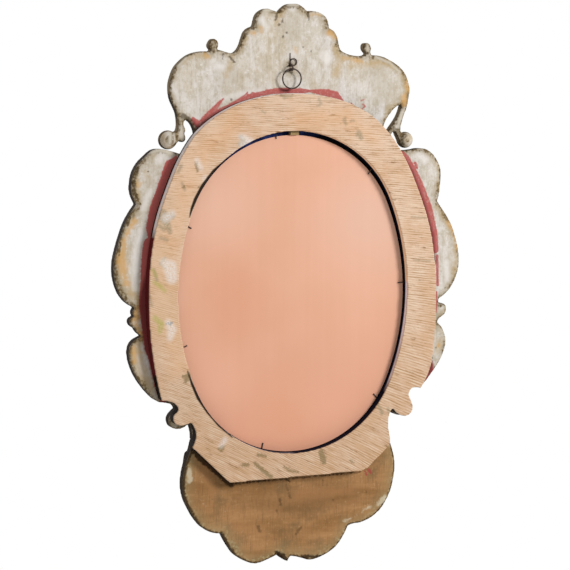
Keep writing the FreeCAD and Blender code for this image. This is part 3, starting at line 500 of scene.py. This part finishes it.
size_paint, tree, surface = new_material("brushed_grey_size")
place = add_node(tree, "TexCoord", {}, "Object")
broad = add_node(tree, "TexNoise", {"Vector": place, "Scale": 34, "Detail": 5,
                                    "Roughness": 0.62})
fine = add_node(tree, "TexNoise", {"Vector": place, "Scale": 260, "Detail": 4,
                                   "Roughness": 0.65})
brush = add_streaks(tree, place, (240, 240, 22), 4, 0.7)
drift = add_streaks(tree, place, (22, 22, 12), 5, 0.6, (3, 1, 2))
mottle = add_streaks(tree, place, (130, 130, 80), 5, 0.7, (1, 4, 2))
colour = add_tones(tree, linear("#DAD2C8"), (
    (broad, 0.4, 0.62, 1.0, "#CEC4B5"), (drift, 0.52, 0.66, 0.55, "#C4B395"),
    (drift, 0.46, 0.34, 0.7, "#DDD8D6"), (brush, 0.52, 0.72, 0.5, "#AEA089"),
    (brush, 0.44, 0.3, 0.5, "#E9E4E0"), (mottle, 0.52, 0.62, 0.5, "#E6E1DC"),
    (mottle, 0.46, 0.36, 0.5, "#B5A993"), (fine, 0.56, 0.74, 0.5, "#A99B82"),
    (fine, 0.42, 0.28, 0.7, "#ECE7DF")))
ragged, both = add_rags(tree, fine, broad, 1.9, 6.0)
smooth = add_node(tree, "MapRange", {"Value": fine, "From Min": 0.2, "From Max": 0.8,
                                     "To Min": -1.1, "To Max": 1.1})
patchy = add_node(tree, "MapRange", {"Value": fine, "From Min": 0.38, "From Max": 0.58,
                                     "To Min": 0.2, "To Max": 0.95})
flaked = add_node(tree, "MapRange", {"Value": fine, "From Min": 0.66, "From Max": 0.5,
                                     "To Min": 0.72, "To Max": 0.97})
# Deep lays the darkest red of the bole together with the ring's painted shadow.
colour = add_layers(tree, colour, (
    ("shade", 0.0, both, 9.0, 0.4, "#B3A58C"), ("margin", 8.5, both, 3.0, 0.5, "#A18F6C"),
    ("tan", 0.0, both, 4.5, 0.6, "#BEA172"), ("pale", 0.0, both, 3.0, 0.6, "#ECE7E2"),
    ("margin", 3.6, both, 1.5, patchy, "#6A5634"), ("bare", 0.0, both, 3.2, 0.8, "#D6A96E"),
    ("bole", 0.0, smooth, 0.6, flaked, "#BC615C"), ("red", 0.0, smooth, 0.6, 0.96, "#C4615C"),
    ("deep", 0.0, smooth, 2.4, 0.75, "#5E2224"), ("dark", 0.3, ragged, 0.8, 0.7, "#4B3D29"),
    # The cream tone is worn edges and painted highlight along the upper edges.
    ("margin", 1.2, ragged, 0.8, 0.55, "#4A3A22"), ("cream_and_highlight", 0.0, ragged, 1.6, 0.8, "#D5CCBC")))
close_board(tree, surface, colour, fine, broad, brush, matt=0.8)

# The apron was left bare: lime wood gone brown, streaked across by a wet cloth, with a paler
# crust of old size along its rounded margin, and near-black painted shadow under the ring and the
# tip.
old_lime, tree, surface = new_material("bare_lime_board")
place = add_node(tree, "TexCoord", {}, "Object")
broad = add_node(tree, "TexNoise", {"Vector": place, "Scale": 30, "Detail": 5,
                                    "Roughness": 0.62})
fine = add_node(tree, "TexNoise", {"Vector": place, "Scale": 260, "Detail": 4,
                                   "Roughness": 0.65})
wiped = add_streaks(tree, place, (8, 8, 42), 5, 0.6)
grain = add_streaks(tree, place, (520, 520, 45), 3, 0.7)
colour = add_tones(tree, linear("#B3865A"), (
    (wiped, 0.38, 0.62, 1.0, "#936B42"), (broad, 0.52, 0.7, 0.7, "#7C6344"),
    (grain, 0.5, 0.74, 0.5, "#6E5234"), (fine, 0.42, 0.28, 0.4, "#C7A078")))
ragged, both = add_rags(tree, fine, broad, 2.2, 8.0)
crusty = add_node(tree, "MapRange", {"Value": fine, "From Min": 0.5, "From Max": 0.4,
                                     "To Max": 0.75})
# On the apron deep lays near-black painted shadow.
colour = add_layers(tree, colour, (
    ("shade", 0.0, both, 12.0, 0.5, "#7D5936"), ("margin", 13.0, both, 9.0, 0.4, "#94845F"),
    ("tan", 0.0, both, 4.0, 0.5, "#A87A50"), ("margin", 7.5, both, 3.5, crusty, "#AE9E78"),
    ("pale", 0.0, both, 1.6, 0.6, "#D8CBB0"), ("margin", 2.6, ragged, 0.8, 0.8, "#2E2212"),
    ("bole", 0.0, ragged, 0.5, 0.85, "#A34A42"), ("deep", 0.0, ragged, 1.2, 0.85, "#20120A"),
    ("dark", 0.3, ragged, 1.2, 0.5, "#3D2F1F")))
close_board(tree, surface, colour, fine, broad, grain, matt=0.78)
for name, board in boards.items():
    board["piece"].data.materials.append(old_lime if name == "apron_panel" else size_paint)


# The sight frame and all the carving on the front are lime wood, gessoed, laid with red bole and
# water-gilt; the leaf is rubbed through on the high places and dull with dirt in the hollows.
# The gouge's flutes follow the outlines, and beads run round the frame's inner moulding.
def hollows(mesh, points):
    """How deep each point lies in a hollow, below 0 on a ridge, and the points smoothed."""
    pairs = np.zeros(len(mesh.edges) * 2, np.int32)
    mesh.edges.foreach_get("vertices", pairs)
    pairs = pairs.reshape(-1, 2)
    count = np.bincount(pairs.ravel(), minlength=len(points)).astype(float)[:, None]
    smooth = points.copy()
    for _ in range(5):
        total = np.zeros_like(smooth)
        np.add.at(total, pairs[:, 0], smooth[pairs[:, 1]])
        np.add.at(total, pairs[:, 1], smooth[pairs[:, 0]])
        smooth = 0.3 * smooth + 0.7 * total / count
    normals = np.zeros(len(mesh.vertices) * 3, np.float32)
    mesh.vertices.foreach_get("normal", normals)
    return ((smooth - points) * normals.reshape(-1, 3)).sum(1), smooth


gilding, tree, surface = new_material("water_gilding")
place = add_node(tree, "TexCoord", {}, "Object")
cloud = add_node(tree, "TexNoise", {"Vector": place, "Scale": 60, "Detail": 5,
                                    "Roughness": 0.65})
grit = add_node(tree, "TexNoise", {"Vector": place, "Scale": 500, "Detail": 3})
hollow, behind = (add_node(tree, "Attribute", {}, "Fac", attribute_name=name)
                  for name in ("hollow", "behind"))
leaf = add_tones(tree, linear("#D9A74F"), ((cloud, 0.35, 0.65, 1.0, "#B98435"),))
rub = add_node(tree, "Math", {0: hollow, 1: -1.1}, operation="MULTIPLY")
rub = add_node(tree, "Math", {0: rub, 1: cloud}, operation="ADD")
rub = add_node(tree, "Math", {0: rub, 1: grit}, operation="ADD")
rub = add_node(tree, "MapRange", {"Value": rub, "From Min": 1.3, "From Max": 1.4})
dirt = add_node(tree, "Math", {0: cloud, 1: 0.5}, operation="SUBTRACT")
dirt = add_node(tree, "Math", {0: hollow, 1: dirt}, operation="ADD")
dirt = add_node(tree, "MapRange", {"Value": dirt, "From Min": 0.05, "From Max": 0.45,
                                   "To Max": 0.8})
# Behind the boards' fronts the carving goes near-black, ungilded and partly painted shade.
behind = add_node(tree, "Math", {0: behind, 1: grit}, operation="ADD")
behind = add_node(tree, "MapRange", {"Value": behind, "From Min": 0.3, "From Max": 1.1})
body, dull = leaf, 0.0
for mask, tone in ((rub, "#8C3E2B"), (dirt, "#4A3218"), (behind, "#1E1812")):
    body = add_node(tree, "Mix", {0: mask, 6: body, 7: linear(tone)}, 2, data_type="RGBA")
    dull = add_node(tree, "Math", {0: dull, 1: mask}, operation="MAXIMUM")
metal = add_node(tree, "MapRange", {"Value": dull, "To Min": 0.9, "To Max": 0.1})
matt = add_node(tree, "MapRange", {"Value": dull, "To Min": 0.33, "To Max": 0.75})
bump = add_node(tree, "Bump", {"Height": cloud, "Strength": 0.3, "Distance": 0.0012})
shader = add_node(tree, "BsdfPrincipled", {"Base Color": body, "Metallic": metal,
                                           "Roughness": matt, "Normal": bump})
tree.links.new(shader, surface)

blue_back, tree, surface = new_material("blue_distemper")
place = add_node(tree, "TexCoord", {}, "Object")
cloud = add_node(tree, "TexNoise", {"Vector": place, "Scale": 70, "Detail": 5})
# Towards negative X the blue goes near-black: painted shade in the gap beside the pane.
side = add_node(tree, "SeparateXYZ", {"Vector": place}, "X")
paint = add_tones(tree, linear("#1B2348"), ((cloud, 0.4, 0.62, 1.0, "#37457F"),
                                            (side, -0.02, -0.045, 1.0, "#0C0B10")))
bump = add_node(tree, "Bump", {"Height": cloud, "Strength": 0.3, "Distance": 0.0008})
shader = add_node(tree, "BsdfPrincipled", {"Base Color": paint, "Roughness": 0.75,
                                           "Specular IOR Level": 0.05, "Normal": bump})
tree.links.new(shader, surface)

# Each wave of the beading shows as two beads. Flutes are given by their pitch, and start a little
# in front of a carving's back; what lies behind the boards' fronts is ungilded and near-black,
# partly painted shade where it meets the boards.
FRONT_MM = -36
BEAD_WAVES, BEAD_DEPTH, BEAD_REACH = 62, 1.9, 7
SCROLL_FLUTE, LEAF_FLUTE, FLUTE_DEPTH, FLUTE_START = 4.7, 3.7, 0.75, 3
carved = ["sight_frame", "crest_shell", "apron_shell"]
for side in ("right", "left"):
    carved += [side + "_" + part for part in (
        "crest_scroll", "upper_scroll", "middle_scroll", "lower_scroll", "apron_scroll",
        "crest_leaf", "side_leaf", "apron_leaf")]
for name in carved:
    on_frame = name == "sight_frame"
    piece = remeshed(name, grain=0.0013 if on_frame else 0.0009, passes=0)
    points = points_of(piece.data)
    low, high = (np.array(corner) * 1000 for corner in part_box(name))
    if on_frame:
        middle, half = (low + high) / 2, (high - low) / 2
        turn = np.arctan2(*((points - middle) / half)[:, (0, 2)].T)
        ridge = np.clip(1 - (points[:, 1] - low[1]) / BEAD_REACH, 0, 1)
        points[:, 1] += BEAD_DEPTH * ridge * (1 - np.abs(np.sin(turn * BEAD_WAVES)) ** 0.6)
    else:
        margin = nearest(points, edge_at(name, high[1] / 1000))
        flute = SCROLL_FLUTE if name.endswith("scroll") else LEAF_FLUTE
        lift = np.clip((high[1] - points[:, 1]) / FLUTE_START - 1, 0, 1)
        groove = 0.5 + 0.5 * np.cos(2 * math.pi * margin / flute)
        points[:, 1] += FLUTE_DEPTH * lift * groove
    hollow, smooth = hollows(piece.data, points)
    keep_points(piece.data, name, 0.75 * points + 0.25 * smooth)
    keep_values(piece.data, "hollow", hollow)
    front = CREST_FRONT_MM if "crest" in name else FRONT_MM
    keep_values(piece.data, "behind", np.full(len(points), -5.0) if on_frame else
                points[:, 1] - front + 2)
    piece.data.materials.append(gilding)
    if on_frame:
        piece.data.materials.append(blue_back)
        for face in piece.data.polygons:
            face.material_index = int(face.center.y > BACK - 2 * SAME_LEVEL)
    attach(piece, "frame")
    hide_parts(name)


# The pane is mouth-blown looking glass, silvered on its back; a coat of copper-coloured paint
# protects the silver, brushed on thinly from top to bottom and clouded here and there.
def coat(name, material):
    """Gives a CAD node its one material."""
    nodes[name].data.materials.clear()
    nodes[name].data.materials.append(material)


mirror, tree, surface = new_material("silvered_glass")
place = add_node(tree, "TexCoord", {}, "Object")
fox = add_node(tree, "TexNoise", {"Vector": place, "Scale": 30, "Detail": 6, "Roughness": 0.7})
spot = add_node(tree, "MapRange", {"Value": fox, "From Min": 0.66, "From Max": 0.76})
silver = add_node(tree, "Mix", {0: spot, 6: linear("#D6DBD8"), 7: linear("#7E7767")}, 2,
                  data_type="RGBA")
matt = add_node(tree, "MapRange", {"Value": spot, "To Min": 0.03, "To Max": 0.4})
shader = add_node(tree, "BsdfPrincipled", {"Base Color": silver, "Metallic": 1.0,
                                           "Roughness": matt})
tree.links.new(shader, surface)
coat("mirror_glass", mirror)

copper_paint, tree, surface = new_material("copper_backing_paint")
place = add_node(tree, "TexCoord", {}, "Object")
sweep = add_streaks(tree, place, (75, 75, 2), 4, 0.6)
cloud = add_node(tree, "TexNoise", {"Vector": place, "Scale": 7, "Detail": 4})
tone = add_node(tree, "Math", {0: sweep, 1: 0.45}, operation="MULTIPLY")
tone = add_node(tree, "Math", {0: tone, 1: cloud}, operation="ADD")
high = add_node(tree, "SeparateXYZ", {"Vector": place}, "Z")
salmon = add_tones(tree, linear("#E2AA8C"), ((tone, 0.55, 0.9, 1.0, "#E8B195"),
                                             (high, -0.25, -0.47, 1.0, "#DFA184")))
drift = add_node(tree, "Math", {0: cloud, 1: 0.12}, operation="MULTIPLY")
# Clouds in the paint: the pixel each lies at, its spread in metres, its strength and its tone.
for column, row, reach, amount, tint in (
        (215, 205, 0.09, 0.5, "#E8BEA8"), (372, 215, 0.13, 0.6, "#E5BFAB"),
        (310, 170, 0.06, 0.4, "#DFA585"), (238, 296, 0.09, 0.6, "#DD9D7B"),
        (278, 408, 0.07, 0.35, "#DF9F7A"), (312, 300, 0.08, 0.4, "#E0A484"),
        (215, 385, 0.06, 0.5, "#EBB296"), (300, 442, 0.05, 0.2, "#DE9C74"),
        (330, 410, 0.05, 0.4, "#E9AE90")):
    gap = add_node(tree, "VectorMath", {0: place, 1: seen_at(column, row, BACK)}, "Value",
                   operation="DISTANCE")
    gap = add_node(tree, "Math", {0: gap, 1: drift}, operation="ADD")
    cloudy = add_node(tree, "MapRange", {"Value": gap, "From Min": reach + 0.07, "From Max": 0.05,
                                         "To Max": amount}, interpolation_type="SMOOTHSTEP")
    salmon = add_node(tree, "Mix", {0: cloudy, 6: salmon, 7: linear(tint)}, 2, data_type="RGBA")
bump = add_node(tree, "Bump", {"Height": sweep, "Strength": 0.15, "Distance": 0.0004})
shader = add_node(tree, "BsdfPrincipled", {"Base Color": salmon, "Roughness": 0.55,
                                           "Specular IOR Level": 0.2, "Normal": bump})
tree.links.new(shader, surface)
coat("mirror_coat", copper_paint)


# The backing ring is one pine plank, sawn out round the pane and glued over the joints. The back
# keeps the marks of the frame saw, and stains and drips from the workshop; its outer walls are
# painted near-black, partly as painted shade, maroon on one side, with a lavender wash towards the
# top that is whitened into a painted highlight; its inner wall is dark blue, with painted light on
# its upper part.

# The marks on the ring. On its back: grime, ink, knots, chalk, moss, a milky film, warmer wood and
# the dark line beside the pane. On its walls: the lavender wash, whitened as painted highlight,
# the maroon, and on the inner wall a brightened strip of bare wood and a near-white tone, both
# painted light that hides the upper part of the blue.
ring_marks = {
    "grime": [[(262, 111, 0.9), (265, 113, 0.5)], [(281, 95.5, 1.2), (291, 96, 1)],
              [(287, 97, 1), (284, 98, 1)], [(319, 99, 1), (321, 104, 0.9), (318, 106, 0.6)],
              [(241, 137, 2), (245, 143, 2), (240, 144, 2)], [(345, 118, 0.8), (346, 124, 0.8)],
              [(351, 120.5, 0.7), (354, 121, 0.7)],
              [(357, 135, 1.4), (360, 132, 1.2), (362, 138, 1.4)],
              [(163, 211, 2), (168, 217, 3), (172, 216, 3)], [(158, 225, 1), (164, 229, 2)],
              [(160, 238, 1), (167, 240, 1.4)], [(154, 270, 1), (157, 280, 1.4)],
              [(377, 404, 1.4), (380, 408, 1.2), (382, 413, 1.8)],
              [(388, 409, 1.2), (390, 414, 1)], [(412, 217, 0.5), (427, 218, 0.5)],
              [(415, 260, 0.4), (430, 261, 0.4)], [(150, 296, 0.8), (152, 306, 0.8)],
              [(182, 183, 1), (185, 190, 0.8)],
              [(165, 258, 0.8), (160, 264, 0.8), (166, 268, 0.6)],
              [(344, 120, 1.6), (346, 124, 1)], [(351, 121, 0.9)],
              [(358, 132, 1.6), (361, 138, 2)], [(158, 214, 3), (166, 222, 4), (170, 232, 2)],
              [(181, 166, 1.6), (178, 172, 1)]],
    "ink": [[(167, 323.5, 0.8), (172, 323, 0.9), (170, 325, 0.6)]],
    "warm": [[(236, 122, 9), (205, 150, 10), (188, 185, 13), (176, 225, 14), (168, 250, 14),
              (166, 310, 14), (180, 365, 12)], [(300, 118, 8), (345, 118, 8), (375, 140, 6)]],
    "line": [[(246, 146, 1), (228, 158.8, 1.4), (214, 171, 1.8), (203, 185.6, 2),
              (195.6, 199, 1.8), (191.8, 208.7, 1.4), (189.6, 217, 0.6)],
             [(187.6, 371, 0.6), (192, 384, 1.4), (198.4, 398, 1.8), (207.6, 411.4, 1.8),
              (219, 425, 1.6), (232, 437, 0.8)]],
    "knot": [[(196, 163, 1.2), (197.5, 171, 1.2)], [(184, 187, 1.2)], [(199, 187, 1)],
             [(183, 377, 1.2), (189, 375, 2.6), (186, 381, 2.2)],
             [(219, 449, 1.4), (223, 447, 1.6), (221, 451, 1.2)],
             [(243, 465, 1.5), (248, 465, 1.6)], [(255, 463, 1.6), (262, 470, 2), (271, 477, 2)],
             [(258, 455, 1.6), (266, 456, 1)], [(284, 467, 1), (291, 471, 1.2), (298, 472, 1)],
             [(321, 452, 2.6), (323, 458, 3.2), (324, 462, 2.4)], [(352, 462, 1)],
             [(350, 460, 0.6), (354, 463, 0.6)]],
    "chalk": [[(205, 178, 1.4), (207, 184, 1.5)],
              [(242, 137, 2.4), (250, 142, 3.2), (242, 144, 2.4)],
              [(197, 160, 1.6), (201, 168, 1.6)], [(164, 262, 3), (170, 267, 6), (172, 278, 5)],
              [(168, 322, 2), (172, 330, 4), (170, 338, 2.4)], [(221, 446, 1.2), (225, 440, 1.8)],
              [(166, 218, 4), (172, 214, 3)]],
    "moss": [[(154, 282, 1.2), (160, 286, 2), (165, 291, 1.2)], [(153, 270, 1), (156, 276, 1)],
             [(155, 318, 2), (161, 324, 3), (160, 331, 2)]],
    "wash_and_highlight": [[(348, 106, 5), (325, 99, 5), (286, 95, 5), (250, 101, 6), (222, 114, 6),
              (200, 128, 7), (180, 156, 8), (166, 196, 7), (159, 226, 5), (157, 236, 2)]],
    "painted_light_lip": [[(308, 132, 5), (330, 137, 8), (354, 153, 7), (372, 168, 5), (386, 190, 5),
             (396, 220, 7), (403, 245, 8), (407, 275, 8)]],
    "painted_highlight": [[(408, 270, 3), (407, 300, 6), (400, 335, 8), (386, 375, 10), (362, 408, 10),
              (330, 434, 10), (290, 446, 9), (250, 441, 9), (228, 432, 5)]],
    "maroon": [[(156, 240, 4), (151, 262, 8), (149, 300, 9), (151, 332, 8), (154, 350, 6),
                (157, 372, 4)]],
    "film": [[(162, 252, 7), (165, 285, 10), (164, 320, 10), (164, 336, 6)],
             [(172, 204, 5), (161, 226, 6)]],
}
piece = remeshed("backing_ring", grain=0.0017, passes=1)
points = points_of(piece.data)
across = -points[:, 0]
drop = -points[:, 2]
drops = (0, 100, 200, 300, 400, 500)
# The saw marks slant down to the photograph's right, more steeply towards the foot and on its left
# side. The inner wall is what lies within a little more than the pane's own half widths.
fall = np.where(across < 0, np.interp(drop, drops, (1, 6, 18, 20, 26, 30)),
                np.interp(drop, drops, (1, 4, 6, 9, 17, 26)))
keep_values(piece.data, "saw", points[:, 2] + across * np.tan(np.radians(fall)))
keep_values(piece.data, "run", across)
keep_values(piece.data, "depth", -points[:, 1])
low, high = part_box("mirror_coat")
middle, half = (low + high) * 500, (high - low) * 500
INNER_WALL_SHARE = 1.06
from_middle = np.hypot((points[:, 0] - middle.x) / half.x, (points[:, 2] - middle.z) / half.z)
keep_values(piece.data, "inside", from_middle < INNER_WALL_SHARE)
keep_points(piece.data, "backing_ring", points)
for kind, marks in ring_marks.items():
    keep_values(piece.data, kind, strokes(points, 0, marks))
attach(piece, "frame")
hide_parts("backing_ring")

SAW_STROKE_MM = 2.9
sawn_pine, tree, surface = new_material("sawn_pine")
place = add_node(tree, "TexCoord", {}, "Object")
saw, run, depth, inside, wash_and_highlight, painted_highlight, painted_light_lip = (
    add_node(tree, "Attribute", {}, "Fac", attribute_name=name)
    for name in ("saw", "run", "depth", "inside", "wash_and_highlight", "painted_highlight", "painted_light_lip"))
row = add_node(tree, "Math", {0: run, 1: 0.03}, operation="MULTIPLY")
line = add_node(tree, "Math", {0: saw, 1: 0.62}, operation="MULTIPLY")
cut = add_node(tree, "CombineXYZ", {"X": line, "Y": row, "Z": 0.0})
teeth = add_node(tree, "TexNoise", {"Vector": cut, "Scale": 1, "Detail": 3, "Roughness": 0.75})
sway = add_node(tree, "CombineXYZ", {"X": saw, "Y": run, "Z": 0.0})
sway = add_node(tree, "TexNoise", {"Vector": sway, "Scale": 0.02, "Detail": 2})
sway = add_node(tree, "Math", {0: sway, 1: 9.0}, operation="MULTIPLY")
beat = add_node(tree, "Math", {0: saw, 1: 2 * math.pi / SAW_STROKE_MM}, operation="MULTIPLY")
beat = add_node(tree, "Math", {0: beat, 1: sway}, operation="ADD")
beat = add_node(tree, "Math", {0: beat}, operation="SINE")
beat = add_node(tree, "Math", {0: beat, 1: 0.085}, operation="MULTIPLY")
teeth = add_node(tree, "Math", {0: teeth, 1: beat}, operation="ADD")
kerf = add_node(tree, "Math", {0: saw, 1: 0.23}, operation="MULTIPLY")
kerf = add_node(tree, "CombineXYZ", {"X": kerf, "Y": row, "Z": 5.0})
kerf = add_node(tree, "TexNoise", {"Vector": kerf, "Scale": 1, "Detail": 4, "Roughness": 0.8})
cloud = add_node(tree, "TexNoise", {"Vector": place, "Scale": 16, "Detail": 4,
                                    "Roughness": 0.6})
fuzz = add_node(tree, "TexNoise", {"Vector": place, "Scale": 420, "Detail": 4,
                                   "Roughness": 0.7})
low = add_node(tree, "SeparateXYZ", {"Vector": place}, "Z")
wood = add_tones(tree, linear("#E2C5AC"), (
    (cloud, 0.38, 0.62, 1.0, "#D8B190"), (low, -0.18, -0.48, 0.6, "#C49F7C"),
    (teeth, 0.52, 0.7, 0.9, "#AB8259"), (teeth, 0.46, 0.3, 0.55, "#F0DEC6"),
    (fuzz, 0.55, 0.75, 0.4, "#A98B6C"), (kerf, 0.58, 0.68, 0.9, "#8F6B47")))
ragged = add_node(tree, "MapRange", {"Value": fuzz, "From Min": 0.2, "From Max": 0.8,
                                     "To Min": -3.4, "To Max": 3.4})
flecks = add_node(tree, "MapRange", {"Value": fuzz, "From Min": 0.62, "From Max": 0.36,
                                     "To Min": 0.2, "To Max": 0.88})
wood = add_layers(tree, wood, (
    ("warm", 0.0, ragged, 12.0, 0.35, "#E8B486"), ("grime", 0.4, ragged, 1.8, flecks, "#77745A"),
    ("ink", 0.2, ragged, 0.8, 0.8, "#26465E"), ("knot", 0.2, ragged, 1.2, 0.75, "#83704A"),
    ("film", 0.0, ragged, 9.0, 0.2, "#D9C7A8"), ("chalk", 1.0, ragged, 3.0, flecks, "#EDE8E4"),
    ("moss", 0.6, ragged, 2.0, flecks, "#A9AC4E"), ("line", 0.0, 0.0, 0.8, 0.97, "#120D0B")))
foot = add_node(tree, "MapRange", {"Value": depth, "From Min": 12.0, "From Max": 10.0})
# The outer walls' near-black is partly painted shade; the maroon is paint.
paint = add_layers(tree, linear("#160E0A"), (("maroon", 0.0, ragged, 3.0, 0.95, "#601C1F"),))
# The wash is near-white, a painted highlight on the shaded upper outer wall.
paint = add_tones(tree, paint, ((wash_and_highlight, -3.0, 3.0, foot, "#FFF3F1"),))
# On the inner wall the bright bare-wood and near-white tones are painted light over the blue.
edge = add_node(tree, "MapRange", {"Value": depth, "From Min": 7.5, "From Max": 6.0})
dark = add_tones(tree, linear("#0E1020"), ((painted_highlight, 0.0, 6.0, edge, "#F2ECF6"),
                                           (painted_light_lip, 0.0, 4.0, edge, "#FFDDB8")))
paint = add_node(tree, "Mix", {0: inside, 6: paint, 7: dark}, 2, data_type="RGBA")
edge = add_node(tree, "Math", {0: depth, 1: fuzz}, operation="SUBTRACT")
edge = add_node(tree, "MapRange", {"Value": edge, "From Min": 0.5, "From Max": 1.2})
wood = add_node(tree, "Mix", {0: edge, 6: wood, 7: paint}, 2, data_type="RGBA")
bump = add_node(tree, "Bump", {"Height": teeth, "Strength": 0.5, "Distance": 0.0008})
shader = add_node(tree, "BsdfPrincipled", {"Base Color": wood, "Roughness": 0.8,
                                           "Specular IOR Level": 0.05, "Normal": bump})
tree.links.new(shader, surface)
piece.data.materials.append(sawn_pine)


# The shim is a chip split from the same pine, darkened on its torn face. It is knocked in over the
# top of the pane to hold it down.
chip_wood, tree, surface = new_material("split_pine_chip")
place = add_node(tree, "TexCoord", {}, "Object")
grain = add_streaks(tree, place, (90, 500, 900), 3, 0.5)
wood = add_node(tree, "Mix", {0: grain, 6: linear("#B89A66"), 7: linear("#8F7448")}, 2,
                data_type="RGBA")
bump = add_node(tree, "Bump", {"Height": grain, "Strength": 0.5, "Distance": 0.0005})
shader = add_node(tree, "BsdfPrincipled", {"Base Color": wood, "Roughness": 0.8, "Normal": bump})
tree.links.new(shader, surface)
coat("top_shim", chip_wood)


# The sprigs, the eye and the ring are wrought iron wire, black with old oil and lightly rusted.
# The sprigs are driven into the ring's inner wall, and the eye's tails into the crest board.
iron, tree, surface = new_material("wrought_iron")
place = add_node(tree, "TexCoord", {}, "Object")
rust = add_node(tree, "TexNoise", {"Vector": place, "Scale": 350, "Detail": 4})
tone = add_node(tree, "MapRange", {"Value": rust, "From Min": 0.45, "From Max": 0.62})
skin = add_node(tree, "Mix", {0: tone, 6: linear("#2E2A27"), 7: linear("#57453A")}, 2,
                data_type="RGBA")
bump = add_node(tree, "Bump", {"Height": rust, "Strength": 0.4, "Distance": 0.0003})
metal = add_node(tree, "MapRange", {"Value": tone, "To Min": 0.9, "To Max": 0.3})
matt = add_node(tree, "MapRange", {"Value": tone, "To Min": 0.42, "To Max": 0.7})
shader = add_node(tree, "BsdfPrincipled", {"Base Color": skin, "Metallic": metal,
                                           "Roughness": matt, "Normal": bump})
tree.links.new(shader, surface)
for name in ["sprig_%d" % i for i in range(1, 8)] + ["hanger_eye", "hanging_ring"]:
    coat(name, iron)
